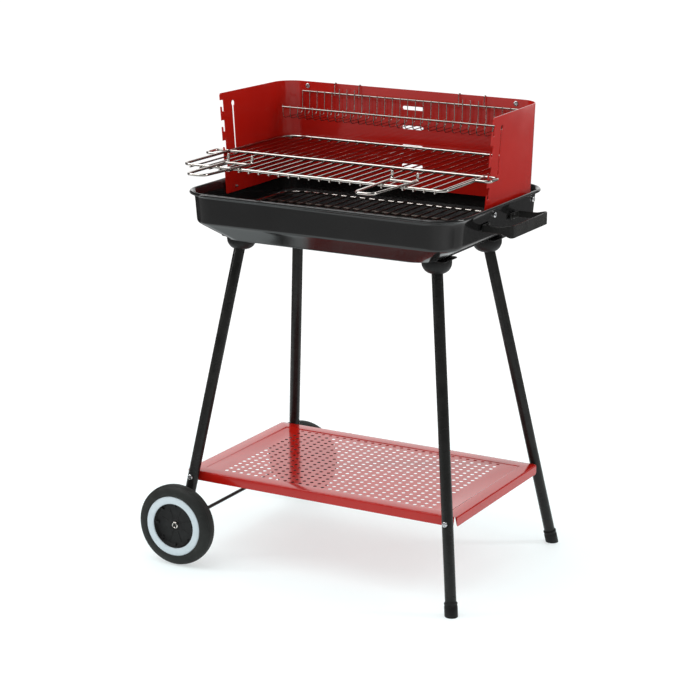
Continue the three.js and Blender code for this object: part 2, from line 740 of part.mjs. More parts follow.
// ---- Assembly -----------------------------------------------------------------------------
addPiece('fire_bowl', fireBowl(), BLACK_ENAMEL);
addPiece('windshield', windshield(), RED_PAINT);
addPiece('cooking_grid', cookingGrid(), CHROME);
addPiece('grid_handle_left', gridHandle(-1), CHROME);
addPiece('grid_handle_right', gridHandle(1), CHROME);
addPiece('charcoal_grate', charcoalGrate(), CHROME);
addPiece('warming_rack', warmingRack(), CHROME);
addPiece('side_handle', sideHandle(), BLACK_PAINT);
addPiece('lower_shelf', shelf(), RED_PAINT);
addPiece('axle', axle(), BLACK_PAINT);

for (const [name, side] of [['left', -1], ['right', 1]]) {
  SHIELD_BOLTS.forEach((place, i) => {
    const end = i === 0 ? 'front' : 'rear';
    addPiece(`windshield_bolt_${end}_${name}`, shieldBolt(side, place), STEEL);
  });
  addPiece(`rack_stop_bolt_${name}`, stopBolt(side), STEEL);
}
for (const [name, side] of [['front', -1], ['rear', 1]]) {
  addPiece(`handle_bolt_${name}`, gripBolt(side), STEEL);
  addPiece(`tyre_${name}`, tyre(side), RUBBER);
  addPiece(`wheel_disc_${name}`, wheelDisc(side), BLACK_PLASTIC);
  addPiece(`wheel_trim_${name}`, trimRing(side), PALE_TRIM);
  addPiece(`axle_nut_${name}`, axleNut(side), CHROME);
  addPiece(`axle_washer_${name}`, axleWasher(side), STEEL);
}
for (const leg of LEGS) {
  addPiece(`leg_${leg.name}`, legTube(leg), BLACK_PAINT);
  addPiece(`leg_cup_${leg.name}`, legCup(leg), BLACK_PLASTIC);
  addPiece(`leg_plate_${leg.name}`, legPlate(leg), BLACK_PAINT);
  addPiece(`leg_bolt_${leg.name}`, legBolt(leg), STEEL);
  addPiece(`shelf_screw_${leg.name}`, shelfScrew(leg), STEEL);
  if (!leg.wheeled) addPiece(`foot_cap_${leg.name}`, footCap(leg), BLACK_PLASTIC);
}

// The origin is on the ground, under the middle of the whole grill.
const extent = new THREE.Box3().setFromObject(grill);
const middle = extent.getCenter(new THREE.Vector3());
grill.position.set(-middle.x, -middle.y, -extent.min.z);
grill.updateMatrixWorld(true);

export default grill;
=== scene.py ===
import math
from types import SimpleNamespace as Dims

import bpy
from mathutils import Matrix, Vector
from mathutils.geometry import delaunay_2d_cdt


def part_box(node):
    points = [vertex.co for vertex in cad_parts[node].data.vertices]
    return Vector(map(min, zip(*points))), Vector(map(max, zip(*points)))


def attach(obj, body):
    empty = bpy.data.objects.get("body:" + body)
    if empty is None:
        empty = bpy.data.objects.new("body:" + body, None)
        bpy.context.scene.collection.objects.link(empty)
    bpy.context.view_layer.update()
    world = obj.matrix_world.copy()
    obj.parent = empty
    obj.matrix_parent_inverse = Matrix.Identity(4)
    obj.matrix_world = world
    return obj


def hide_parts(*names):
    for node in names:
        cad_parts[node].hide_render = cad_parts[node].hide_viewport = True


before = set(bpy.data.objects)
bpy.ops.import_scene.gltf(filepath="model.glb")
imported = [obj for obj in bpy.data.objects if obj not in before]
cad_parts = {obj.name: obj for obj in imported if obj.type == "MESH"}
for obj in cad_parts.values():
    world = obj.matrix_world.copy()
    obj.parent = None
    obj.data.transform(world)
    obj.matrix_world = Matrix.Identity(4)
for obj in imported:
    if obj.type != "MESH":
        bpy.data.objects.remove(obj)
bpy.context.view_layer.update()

# The grill's design frame: millimetres from the middle of the fire bowl, z from the ground.
MM = 0.001
BOWL_LOW, BOWL_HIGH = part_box("fire_bowl")
ORIGIN = Vector(((BOWL_LOW.x + BOWL_HIGH.x) / 2, (BOWL_LOW.y + BOWL_HIGH.y) / 2, 0))


def at(x, y, z):
    """A point of the design frame, in the row's frame."""
    return ORIGIN + Vector((x, y, z)) * MM


# ---- Driving dimensions, in millimetres ----
SHEET = 1.4
GAP = 0.3  # left between pieces that rest on each other
RIM = Dims(x=271, y=199, r=58, top=682)
WALL = Dims(x=262, y=190, r=51, top=671, bottom=627)
FLOOR = Dims(x=210, y=163, r=46, z=597)
SHIELD = Dims(x=258.7, front=-55, back=166, bottom=655, top=837, r=38)
LEAN_BACK, LEAN_FRONT = 4, 13  # how far each cheek leans out at the top
NOTCH_SEATS = [803.6 - i * 36.4 for i in range(4)]
NOTCH = Dims(mouth=-70, lip=-50.8, deep=-44.8, lip_rise=9.5, rise=21)
KEYHOLE = Dims(y=-14.4, z=815, eye=5.2, slot=(-16.6, -12.2), bottom=733)
EYE_OPENING = 0.43  # radians each side of the slot
VENT_HEIGHTS = [803.5 - i * 35.6 for i in range(4)]
VENT = Dims(left=-10, right=26, radius=3.4)
RAIL, WIRE = 2.5, 1.5  # wire radii
GRID = Dims(x=254, front=-203, back=155, r_front=14, r_back=36)
GRID_Z = NOTCH_SEATS[2] + GAP + RAIL
GRID_PITCH = 19.8
NOTCH_BAR = Dims(y=-47.8, front=-88, reach=281)
LIFT_HANDLE = Dims(x=161, tip=-313, root=-164, tip_half=17, root_half=24)
GRATE = Dims(x=250.5, y=160, r=42, z=627.2, cross_y=60)
RACK = Dims(x=222, back=159.9, front=84, rail=819, lip=799, floor=778)
RACK_PITCH = 15.8
RACK_RAIL, RACK_WIRE, HOOK_WIRE = 1.5, 0.9, 0.9  # wire radii
HOOKS = [102, 153]
SHELF = Dims(x=273, y=172.5, top=162, flange=17.5)
HOLE_RADIUS, HOLE_PITCH_X, HOLE_PITCH_Y = 3.6, 15.4, 15.5
HOLE_COLUMNS, HOLE_ROWS = 28, 19
LEG_RADIUS, LEG_WALL = 10, 1.2
TUBE_START = 9  # distance of the tube's end below the top of the leg line
BEYOND_AXLE, CAP_FLOOR = 14, 6.3
CUP = Dims(radius=26.5, neck=9, top=594.2, depth=24.5)
PLATE = Dims(half=27.5, r=6, z=594.6, thick=2)
AXLE = Dims(x=-259, z=75, half=237.3, radius=3.2)
GRIP = Dims(wall=262.3, reach=321, half_y=75, tab=34, thick=2.2,
            low=644.2, high=655.8, deeper=(6, 4))  # deeper: grip below and above the tabs
SCREW_HEAD = (5, 3)  # radius and height
LEG_BOLT = Dims(rise=1.8, head=(6.4, 3.4), shank=2.8, length=17.8)
SHELF_SCREW = Dims(z=156, shank=2.2, bite=8)
GRIP_BOLT = Dims(y=52, z=650, shank=2.4, length=9)
SHIELD_BOLT = Dims(y={"front": -22, "rear": 140}, z=665, shank=2.4, length=9)
STOP_BOLT = Dims(x=210, z=828.5, sunk=1.8, head=(4.5, 1.3), shank=2.1, length=7)


# ---- Mesh building ----
def placed(name, data):
    """A new object in the scene."""
    obj = bpy.data.objects.new(name, data)
    bpy.context.scene.collection.objects.link(obj)
    return obj


class Shape:
    """Points and faces of one piece, gathered part by part."""

    def __init__(self):
        self.points = []
        self.faces = []

    def add(self, points, faces):
        base = len(self.points)
        self.points += points
        self.faces += [tuple(base + i for i in face) for face in faces]

    def piece(self, name, body, material, replaces, slot, sharp=35):
        """Makes the object, shades it, and hangs it on its body."""
        mesh = bpy.data.meshes.new(name)
        mesh.from_pydata([tuple(p) for p in self.points], [], self.faces)
        mesh.validate()
        mesh.materials.append(material)
        mesh.shade_smooth()
        mesh.set_sharp_from_angle(angle=math.radians(sharp))
        obj = placed(name, mesh)
        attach(obj, body)
        if replaces:
            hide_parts(*replaces)


def ring_faces(rows, count, closed):
    """Quads between successive rings of points; closed joins the last ring to the first."""
    faces = []
    for j in range(rows if closed else rows - 1):
        a, b = j * count, ((j + 1) % rows) * count
        for i in range(count):
            k = (i + 1) % count
            faces.append((a + i, a + k, b + k, b + i))
    return faces


def capped(rows, count):
    """The quads of successive rings, with a face over each end."""
    faces = ring_faces(rows, count, closed=False)
    faces.append(tuple(reversed(range(count))))
    faces.append(tuple(range((rows - 1) * count, rows * count)))
    return faces


def square_to(axis):
    """Two unit vectors at right angles to an axis and to each other."""
    across = axis.orthogonal().normalized()
    return across, axis.cross(across)


def spokes(across, up, count):
    """Unit vectors all round, in the plane of two others."""
    angles = [math.tau * i / count for i in range(count)]
    return [across * math.cos(angle) + up * math.sin(angle) for angle in angles]


def eased(start, corner, end, steps):
    """Points of the smooth curve from start to end that a corner pulls on."""
    shares = [i / steps for i in range(steps + 1)]
    return [start * (1 - t) ** 2 + corner * 2 * t * (1 - t) + end * t * t for t in shares]


def arc_bend(points, radius, steps=6):
    """A run of points with each inner corner turned into a smooth bend. A point given as a
    pair carries its own bend radius."""
    plain = [p[0] if isinstance(p, tuple) else p for p in points]
    radii = [p[1] if isinstance(p, tuple) else radius for p in points]
    run = [plain[0]]
    for before, here, after, wanted in zip(plain, plain[1:], plain[2:], radii[1:]):
        to_before, to_after = before - here, after - here
        reach = min(wanted * MM, to_before.length / 2.05, to_after.length / 2.05)
        start = here + to_before.normalized() * reach
        end = here + to_after.normalized() * reach
        run += eased(start, here, end, steps)
    run.append(plain[-1])
    return run


def directions(run):
    """The unit direction of a run at each of its points."""
    neighbours = zip(run[:1] + run[:-1], run[1:] + run[-1:])
    return [(ahead - behind).normalized() for behind, ahead in neighbours]


def sweep(shape, run, radius, sides=12):
    """Round wire along a run of points, with slightly rounded ends."""
    radius *= MM
    tangents = directions(run)
    side = tangents[0].orthogonal().normalized()
    rings = []
    for i, (point, tangent) in enumerate(zip(run, tangents)):
        if i:
            side = tangents[i - 1].rotation_difference(tangent) @ side
        up = tangent.cross(side)
        rings.append((point, tangent, side.copy(), up))
    points = []

    def ring(place, scale, shift):
        point, tangent, across, up = place
        for spoke in spokes(across, up, sides):
            points.append(point + spoke * (radius * scale) + tangent * (shift * radius))

    ring(rings[0], 0.7, 0)
    ring(rings[0], 1, 0.35)
    for place in rings[1:-1]:
        ring(place, 1, 0)
    ring(rings[-1], 1, -0.35)
    ring(rings[-1], 0.7, 0)
    shape.add(points, capped(len(points) // sides, sides))


def loop(shape, run, radius, sides=12):
    """Round wire along a closed flat run of points."""
    radius *= MM
    points = []
    count = len(run)
    up = Vector((0, 0, 1))
    for i, point in enumerate(run):
        tangent = (run[(i + 1) % count] - run[i - 1]).normalized()
        points += [point + spoke * radius for spoke in spokes(tangent.cross(up), up, sides)]
    shape.add(points, ring_faces(count, sides, closed=True))


def turned(shape, profile, start, axis, sides=48):
    """A closed profile of (radius, distance) pairs, in millimetres, turned about an axis."""
    axis = Vector(axis).normalized()
    across, up = square_to(axis)
    points = []
    for radius, distance in profile:
        for spoke in spokes(across, up, sides):
            points.append(start + spoke * (max(radius, 0.01) * MM) + axis * (distance * MM))
    shape.add(points, ring_faces(len(profile), sides, closed=True))


def rounded_profile(profile, radius, steps=3):
    """A closed profile with each of its corners eased by a small radius."""
    result = []
    count = len(profile)
    for i in range(count):
        here = Vector(profile[i])
        before, after = Vector(profile[i - 1]) - here, Vector(profile[(i + 1) % count]) - here
        reach = min(radius, before.length / 2.1, after.length / 2.1)
        start = here + before.normalized() * reach
        end = here + after.normalized() * reach
        result += [tuple(point) for point in eased(start, here, end, steps)]
    return result


def rounded_rectangle(half_x, half_y, radius, z, steps=14):
    """Points round a rectangle with round corners, from the +X side."""
    points = []
    for corner, (sx, sy) in enumerate([(1, 1), (-1, 1), (-1, -1), (1, -1)]):
        for i in range(steps + 1):
            angle = math.pi / 2 * (corner + i / steps)
            x = sx * (half_x - radius) + radius * math.cos(angle)
            y = sy * (half_y - radius) + radius * math.sin(angle)
            points.append((x, y, z))
    return points


def inside(point, polygon):
    """Whether a flat point is inside a polygon."""
    hit = False
    for a, b in zip(polygon, polygon[1:] + polygon[:1]):
        if (a[1] > point[1]) != (b[1] > point[1]):
            if point[0] < a[0] + (point[1] - a[1]) / (b[1] - a[1]) * (b[0] - a[0]):
                hit = not hit
    return hit


def cut_sheet(shape, outline, holes, creases, fold, is_hole, thick=SHEET):
    """Sheet metal cut flat and then folded. Outline and holes are loops of flat points,
    creases are flat lines that the mesh follows, and fold(u, v, depth) places a point."""
    flat, edges = [], []
    for ring in [outline, *holes]:
        base = len(flat)
        flat += [Vector(p) for p in ring]
        edges += [(base + i, base + (i + 1) % len(ring)) for i in range(len(ring))]
    for a, b in creases:
        edges.append((len(flat), len(flat) + 1))
        flat += [Vector(a), Vector(b)]
    flat, _, triangles, _, _, _ = delaunay_2d_cdt(flat, edges, [], 0, 1e-4)
    kept = []
    for tri in triangles:
        middle = (flat[tri[0]] + flat[tri[1]] + flat[tri[2]]) / 3
        if inside(middle, outline) and not is_hole(middle):
            kept.append(tuple(tri))
    used = sorted({i for tri in kept for i in tri})
    place = {old: new for new, old in enumerate(used)}
    front = [fold(flat[i].x, flat[i].y, 0) for i in used]
    back = [fold(flat[i].x, flat[i].y, thick) for i in used]
    size = len(used)
    faces = [tuple(place[i] for i in tri) for tri in kept]
    faces += [tuple(size + place[i] for i in reversed(tri)) for tri in kept]
    sides = {}
    for tri in kept:
        for a, b in zip(tri, tri[1:] + tri[:1]):
            if (b, a) in sides:
                del sides[(b, a)]
            else:
                sides[(a, b)] = True
    for a, b in sides:
        faces.append((place[b], place[a], size + place[a], size + place[b]))
    shape.add(front + back, faces)


def circle(x, y, radius, count, start, turn=math.tau):
    """Points round a circle, or part of one, from an angle on."""
    step = turn / count
    return [
        (x + radius * math.cos(start + i * step), y + radius * math.sin(start + i * step))
        for i in range(count)
    ]


# ---- Materials ----
COAT_ROUGHNESS, SOOT_ROUGHNESS = 0.03, 0.85
SOOT_FULL, SOOT_NONE = 0.655, 0.668  # heights in metres


class Finish:
    """A procedural material, built node by node round one Principled shader."""

    def __init__(self, name, metallic=0.0, coat=0.0, specular=0.5):
        self.material = bpy.data.materials.new(name)
        self.material.use_nodes = True
        self.tree = self.material.node_tree
        self.bsdf = self.tree.nodes["Principled BSDF"]
        self.bsdf.inputs["Metallic"].default_value = metallic
        self.bsdf.inputs["Coat Weight"].default_value = coat
        self.bsdf.inputs["Coat Roughness"].default_value = COAT_ROUGHNESS
        self.bsdf.inputs["Specular IOR Level"].default_value = specular
        self.place = self.tree.nodes.new("ShaderNodeTexCoord").outputs["Object"]

    def link(self, source, node, socket):
        self.tree.links.new(source, node.inputs[socket])

    def operate(self, kind, operation, *sources):
        """A maths node with its inputs linked."""
        node = self.tree.nodes.new(kind)
        node.operation = operation
        for i, source in enumerate(sources):
            self.link(source, node, i)
        return node

    def noise(self, scale, detail=4.0, stretch=(1, 1, 1)):
        """Cloudy noise; scale is in features to the metre."""
        mapping = self.tree.nodes.new("ShaderNodeMapping")
        mapping.inputs["Scale"].default_value = stretch
        self.link(self.place, mapping, "Vector")
        node = self.tree.nodes.new("ShaderNodeTexNoise")
        node.inputs["Scale"].default_value = scale
        node.inputs["Detail"].default_value = detail
        node.inputs["Roughness"].default_value = 0.55
        self.link(mapping.outputs["Vector"], node, "Vector")
        return node.outputs["Fac"]

    def clouds(self, scale, detail, low, high, out_low, out_high, stretch=(1, 1, 1)):
        """Cloudy noise between two levels, spread over a range of values."""
        return self.remap(self.noise(scale, detail, stretch), low, high, out_low, out_high)

    def remap(self, source, low, high, out_low, out_high):
        node = self.tree.nodes.new("ShaderNodeMapRange")
        node.inputs["From Min"].default_value = low
        node.inputs["From Max"].default_value = high
        node.inputs["To Min"].default_value = out_low
        node.inputs["To Max"].default_value = out_high
        self.link(source, node, "Value")
        return node.outputs["Result"]

    def blend(self, factor, first, second):
        node = self.tree.nodes.new("ShaderNodeMix")
        node.data_type = "RGBA"
        self.link(factor, node, "Factor")
        for socket, value in (("A", first), ("B", second)):
            target = [i for i in node.inputs if i.name == socket and i.type == "RGBA"][0]
            if isinstance(value, tuple):
                target.default_value = (*value, 1)
            else:
                self.tree.links.new(value, target)
        return [o for o in node.outputs if o.type == "RGBA"][0]

    def bump(self, height, strength, distance):
        node = self.tree.nodes.new("ShaderNodeBump")
        node.inputs["Strength"].default_value = strength
        node.inputs["Distance"].default_value = distance
        self.link(height, node, "Height")
        return node.outputs["Normal"]

    def done(self, color, roughness, normal=None):
        self.link(color, self.bsdf, "Base Color")
        self.link(roughness, self.bsdf, "Roughness")
        if normal:
            self.link(normal, self.bsdf, "Normal")
        return self.material


def gloss_paint(name, deep, bright, worn, rough, coat, peel, specular, dulled=None):
    """Sprayed or fired paint: slow colour drift, orange peel, fine specks and rub marks."""
    f = Finish(name, coat=coat, specular=specular)
    drift = f.clouds(7, 3, 0.3, 0.7, 0, 1)
    color = f.blend(drift, deep, bright)
    specks = f.clouds(1300, 1, 0.76, 0.80, 0, 0.35)
    color = f.blend(specks, color, worn)
    rubbed = f.clouds(45, 6, 0.66, 0.80, 0, 0.22, (1, 1, 3))
    color = f.blend(rubbed, color, worn)
    roughness = f.clouds(24, 5, 0.3, 0.7, rough[0], rough[1])
    if dulled:
        roughness = dulled(f, roughness)
    return f.done(color, roughness, f.bump(f.noise(260, 2), peel, 0.0002))


def powder_coat(name, deep, bright, worn, rough):
    """Textured black coat: a fine grain with dull rubbed patches."""
    f = Finish(name, specular=0.20)
    color = f.blend(f.clouds(40, 4, 0.35, 0.65, 0, 1), deep, bright)
    color = f.blend(f.clouds(120, 4, 0.68, 0.80, 0, 0.12), color, worn)
    roughness = f.clouds(50, 4, 0.3, 0.7, rough[0], rough[1])
    return f.done(color, roughness, f.bump(f.noise(700, 2), 0.05, 0.0001))


def moulded(name, deep, bright, dusty, rough, grain, depth, specular):
    """Moulded plastic or rubber: a fine matt grain under a little dust."""
    f = Finish(name, specular=specular)
    color = f.blend(f.clouds(30, 4, 0.35, 0.65, 0, 1), deep, bright)
    color = f.blend(f.clouds(120, 6, 0.60, 0.80, 0, 0.45), color, dusty)
    roughness = f.clouds(45, 4, 0.3, 0.7, rough[0], rough[1])
    return f.done(color, roughness, f.bump(f.noise(grain, 4), 0.4, depth))


def bright_metal(name, deep, bright, stain, rough):
    """Plated metal: slight clouding, faint stains and hairline scratches."""
    f = Finish(name, metallic=1.0)
    color = f.blend(f.clouds(35, 4, 0.35, 0.65, 0, 1), deep, bright)
    color = f.blend(f.clouds(140, 6, 0.60, 0.75, 0, 0.5), color, stain)
    roughness = f.clouds(180, 5, 0.3, 0.7, rough[0], rough[1])
    return f.done(color, roughness, f.bump(f.noise(700, 3), 0.12, 0.0001))


def sooted(f, roughness):
    """Dulls the floor inside the bowl, where surfaces face up below the rim."""
    facing, height = (f.tree.nodes.new("ShaderNodeSeparateXYZ") for _ in range(2))
    f.link(f.tree.nodes.new("ShaderNodeNewGeometry").outputs["Normal"], facing, "Vector")
    f.link(f.place, height, "Vector")
    soot = f.remap(facing.outputs["Z"], 0.1, 0.4, 0, 1)
    for factor in (f.remap(height.outputs["Z"], SOOT_FULL, SOOT_NONE, 1, 0),
                   f.clouds(30, 5, 0.3, 0.7, 0.8, 1.0)):
        soot = f.operate("ShaderNodeMath", "MULTIPLY", soot, factor).outputs["Value"]
    mix = f.tree.nodes.new("ShaderNodeMix")
    f.link(soot, mix, "Factor")
    f.link(roughness, mix, "A")
    mix.inputs["B"].default_value = SOOT_ROUGHNESS
    return mix.outputs["Result"]


RED = gloss_paint("red_paint", (0.355, 0.0065, 0.0035), (0.41, 0.0095, 0.0050),
                  (0.44, 0.035, 0.024), (0.10, 0.18), coat=0.16, peel=0.05, specular=0.36)
ENAMEL = gloss_paint("bowl_enamel", (0.006, 0.006, 0.006), (0.010, 0.010, 0.010),
                     (0.035, 0.035, 0.034), (0.08, 0.16), coat=0.0, peel=0.08,
                     specular=0.48, dulled=sooted)
BLACK = powder_coat("black_paint", (0.010, 0.010, 0.0095), (0.016, 0.016, 0.015),
                    (0.040, 0.040, 0.038), (0.22, 0.34))
PLASTIC = moulded("black_plastic", (0.008, 0.008, 0.008), (0.013, 0.013, 0.013),
                  (0.030, 0.030, 0.030), (0.40, 0.55), 2600, 0.0002, specular=0.20)
RUBBER = moulded("tyre_plastic", (0.015, 0.016, 0.015), (0.022, 0.024, 0.022),
                 (0.055, 0.055, 0.052), (0.50, 0.68), 1500, 0.0003, specular=0.20)
PALE = moulded("pale_trim", (0.50, 0.575, 0.61), (0.56, 0.63, 0.67), (0.42, 0.47, 0.50),
               (0.30, 0.42), 1200, 0.0001, specular=0.4)
CHROME = bright_metal("chrome_wire", (0.46, 0.43, 0.40), (0.58, 0.55, 0.515),
                      (0.36, 0.31, 0.26), (0.08, 0.20))
# Painted shade: a darker, rougher copy of the chrome wire, for the grate wires that lie in shade
# down in the bowl.
SHADED_CHROME_WIRE = bright_metal("coal_grate_wire", (0.060, 0.050, 0.045), (0.10, 0.085, 0.075),
                         (0.05, 0.040, 0.035), (0.48, 0.62))
RACK_WIRES = bright_metal("rack_wire", (0.30, 0.25, 0.225), (0.42, 0.365, 0.33),
                          (0.36, 0.30, 0.25), (0.12, 0.26))
ZINC = bright_metal("zinc_fastener", (0.52, 0.53, 0.55), (0.66, 0.66, 0.66),
                    (0.40, 0.39, 0.36), (0.20, 0.36))


# ---- Fire bowl ----
def smoothed(rows, rounds):
    """Corner cutting on rows of numbers; the first and last rows stay."""
    for _ in range(rounds):
        result = [rows[0]]
        for a, b in zip(rows, rows[1:]):
            result.append(tuple(p * 0.75 + q * 0.25 for p, q in zip(a, b)))
            result.append(tuple(p * 0.25 + q * 0.75 for p, q in zip(a, b)))
        rows = result + [rows[-1]]
    return rows


def ring_row(base, by, z):
    """One level of the bowl: a base outline moved out by some millimetres, at a height."""
    return (base.x + by, base.y + by, base.r + by, z)


def fire_bowl():
    rows = smoothed([
        ring_row(FLOOR, -5, FLOOR.z),
        ring_row(FLOOR, -0.4, FLOOR.z + 0.3),
        ring_row(FLOOR, 0, FLOOR.z + 1.4),
        ring_row(WALL, -8, WALL.bottom - 4.5),
        ring_row(WALL, -3.5, WALL.bottom),
        ring_row(WALL, -2.8, WALL.bottom + 8),
        ring_row(WALL, 0, WALL.top),
        ring_row(WALL, 2, WALL.top + 4),
        ring_row(RIM, -1.6, RIM.top - 6),
        ring_row(RIM, -0.1, RIM.top - 4.2),
        ring_row(RIM, -0.1, RIM.top - 2.2),
        ring_row(RIM, -2.2, RIM.top - 0.1),
        ring_row(RIM, -3.6, RIM.top - 0.1),
        ring_row(RIM, -4.8, RIM.top - 0.6),
        ring_row(WALL, 1, WALL.top + 7),
        ring_row(WALL, -SHEET, WALL.top),
        ring_row(WALL, -3.2 - SHEET, WALL.bottom + 6),
        ring_row(WALL, -4 - SHEET, WALL.bottom),
        ring_row(WALL, -8 - SHEET, WALL.bottom - 3.1),
        ring_row(FLOOR, -0.8, FLOOR.z + SHEET + 1.4),
        ring_row(FLOOR, -5, FLOOR.z + SHEET),
    ], 2)
    points = []
    for half_x, half_y, radius, z in rows:
        points += [at(*p) for p in rounded_rectangle(half_x, half_y, radius, z)]
    shape = Shape()
    shape.add(points, capped(len(rows), len(points) // len(rows)))
    shape.piece("bowl_shell", "frame", ENAMEL, ["fire_bowl"], "bowl_enamel")


fire_bowl()


# ---- Windshield ----
STRAIGHT = SHIELD.back - SHIELD.r - SHIELD.front
BEND = math.pi / 2 * SHIELD.r
BACK_RUN = 2 * (SHIELD.x - SHIELD.r)
SHIELD_LENGTH = 2 * STRAIGHT + 2 * BEND + BACK_RUN


def shield_place(u, v, depth):
    """A point of the bent windshield: u along the sheet from the left cheek's front edge,
    v its height, depth how far inside its outer face."""
    half = SHIELD_LENGTH / 2
    side = -1 if u < half else 1
    run = u if side < 0 else SHIELD_LENGTH - u
    if run < STRAIGHT:
        x, y, normal = SHIELD.x, SHIELD.front + run, (1, 0)
    elif run < STRAIGHT + BEND:
        angle = (run - STRAIGHT) / SHIELD.r
        normal = (math.cos(angle), math.sin(angle))
        x = SHIELD.x - SHIELD.r + SHIELD.r * normal[0]
        y = SHIELD.back - SHIELD.r + SHIELD.r * normal[1]
    else:
        x, y = SHIELD.x - SHIELD.r - (run - STRAIGHT - BEND), SHIELD.back
        normal = (0, 1)
    x -= normal[0] * depth
    y -= normal[1] * depth
    rise = max(0.0, (v - WALL.top) / (SHIELD.top - WALL.top))
    to_front = (SHIELD.back - y) / (SHIELD.back - SHIELD.front)
    lean = rise * (LEAN_BACK + (LEAN_FRONT - LEAN_BACK) * to_front)
    x += lean * min(1, x / SHIELD.x)
    return at(side * x, y, v)


def windshield():
    length, low, high = SHIELD_LENGTH, SHIELD.bottom, SHIELD.top
    outline = rounded_profile([(0, low), (length, low), (length, high), (0, high)], 5, 4)
    holes = []
    front = SHIELD.front
    for side in (-1, 1):
        def sheet_u(y):
            return y - front if side < 0 else length - (y - front)

        for seat in NOTCH_SEATS:
            lip, top = seat + NOTCH.lip_rise, seat + NOTCH.rise
            notch = [(NOTCH.mouth, lip), (NOTCH.lip, lip), (NOTCH.lip, seat),
                     (NOTCH.deep, seat), (NOTCH.deep, top), (NOTCH.mouth, top)]
            holes.append([(sheet_u(y), z) for y, z in rounded_profile(notch, 2.7, 3)])
        key = circle(KEYHOLE.y, KEYHOLE.z, KEYHOLE.eye, 18, -math.pi / 2 + EYE_OPENING,
                     math.tau - 2 * EYE_OPENING + 0.05)
        key += [(y, KEYHOLE.bottom) for y in KEYHOLE.slot]
        holes.append([(sheet_u(y), z) for y, z in key])
    middle = length / 2
    half_turn = math.pi * 9 / 8
    for z in VENT_HEIGHTS:
        left = circle(middle + VENT.left, z, VENT.radius, 9, math.pi / 2, half_turn)
        right = circle(middle + VENT.right, z, VENT.radius, 9, -math.pi / 2, half_turn)
        holes.append(left + right)
    creases = []
    stops = [STRAIGHT * k / 4 for k in range(1, 4)]
    stops += [STRAIGHT + BEND * k / 12 for k in range(13)]
    stops += [STRAIGHT + BEND + BACK_RUN * k / 8 for k in range(1, 4)]
    for u in stops:
        creases.append(((u, low), (u, high)))
        creases.append(((length - u, low), (length - u, high)))
    creases.append(((middle, low), (middle, high)))
    for v in (WALL.top, 712, 754, 796):
        creases.append(((0, v), (length, v)))

    def is_hole(p):
        return any(inside(p, hole) for hole in holes)

    shape = Shape()
    cut_sheet(shape, outline, holes, creases, shield_place, is_hole)
    shape.piece("windshield_sheet", "frame", RED, ["windshield"], "red_paint", sharp=30)


windshield()


# ---- Wire goods ----
def wire_frame(shape, half_x, y0, y1, z, r0, r1):
    """Closed rail round a rectangle with its own corner radius at the front and the back."""
    run = []
    corners = [(half_x, y1, r1, 0), (-half_x, y1, r1, 1), (-half_x, y0, r0, 2), (half_x, y0, r0, 3)]
    for x, y, radius, quarter in corners:
        cx, cy = x - math.copysign(radius, x), (y - radius if quarter < 2 else y + radius)
        for i in range(9):
            angle = math.pi / 2 * (quarter + i / 8)
            run.append(at(cx + radius * math.cos(angle), cy + radius * math.sin(angle), z))
    loop(shape, run, RAIL)


def corner_cut(x, half_x, radius):
    """How much shorter a wire is at x, because of the rail's round corner."""
    reach = max(0.0, abs(x) - (half_x - radius))
    return radius - math.sqrt(radius * radius - reach * reach)


def spaced(limit, pitch):
    """Places on a pitch, on both sides of the middle, within a limit."""
    count = int(limit // pitch)
    return [(i - count) * pitch for i in range(2 * count + 1)]


def cooking_grid():
    shape = Shape()
    wire_frame(shape, GRID.x, GRID.front, GRID.back, GRID_Z, GRID.r_front,
               GRID.r_back)
    weld, past_front, past_back = 0.5, 4.6, 3.6
    wire_z = GRID_Z - RAIL - WIRE + weld
    for x in spaced(GRID.x - 8, GRID_PITCH):
        end = GRID.back + past_back - corner_cut(x, GRID.x, GRID.r_back)
        stops = (GRID.front - past_front, (GRID.front + GRID.back) / 2, end)
        sweep(shape, [at(x, y, wire_z) for y in stops], WIRE, 10)
    ear_y, ear_front, reach = NOTCH_BAR.y, NOTCH_BAR.front, NOTCH_BAR.reach
    ears = [(-GRID.x - 0.6, ear_front), (-reach, ear_front), (-reach, ear_y), (reach, ear_y),
            (reach, ear_front), (GRID.x + 0.6, ear_front)]
    run = arc_bend([at(x, y, GRID_Z) for x, y in ears], 12, 8)
    sweep(shape, run, RAIL, 14)
    shape.piece("grid_wires", "cooking_grid", CHROME, ["cooking_grid"], "chrome_wire")


def grid_handle(side, name):
    shape = Shape()
    x, low = side * LIFT_HANDLE.x, GRID_Z + 2 * RAIL - 0.7
    tip_y, root_y = LIFT_HANDLE.tip, LIFT_HANDLE.root
    tip, root = LIFT_HANDLE.tip_half, LIFT_HANDLE.root_half
    prong, cross_y = low + 14.6, root_y - 12
    route = [at(x - root, root_y, prong), (at(x - root, root_y, low), 10),
             (at(x - tip, tip_y, low + 2), 15), (at(x + tip, tip_y, low + 2), 15),
             (at(x + root, root_y, low), 10), at(x + root, root_y, prong)]
    sweep(shape, arc_bend(route, 10, 10), RAIL - 0.05, 14)
    ends = (x - root - 0.6, x, x + root + 0.6)
    sweep(shape, [at(end, cross_y, low) for end in ends], RAIL - 0.1, 12)
    shape.piece(f"lift_handle_{name}", "cooking_grid", CHROME, [f"grid_handle_{name}"],
                "chrome_wire")


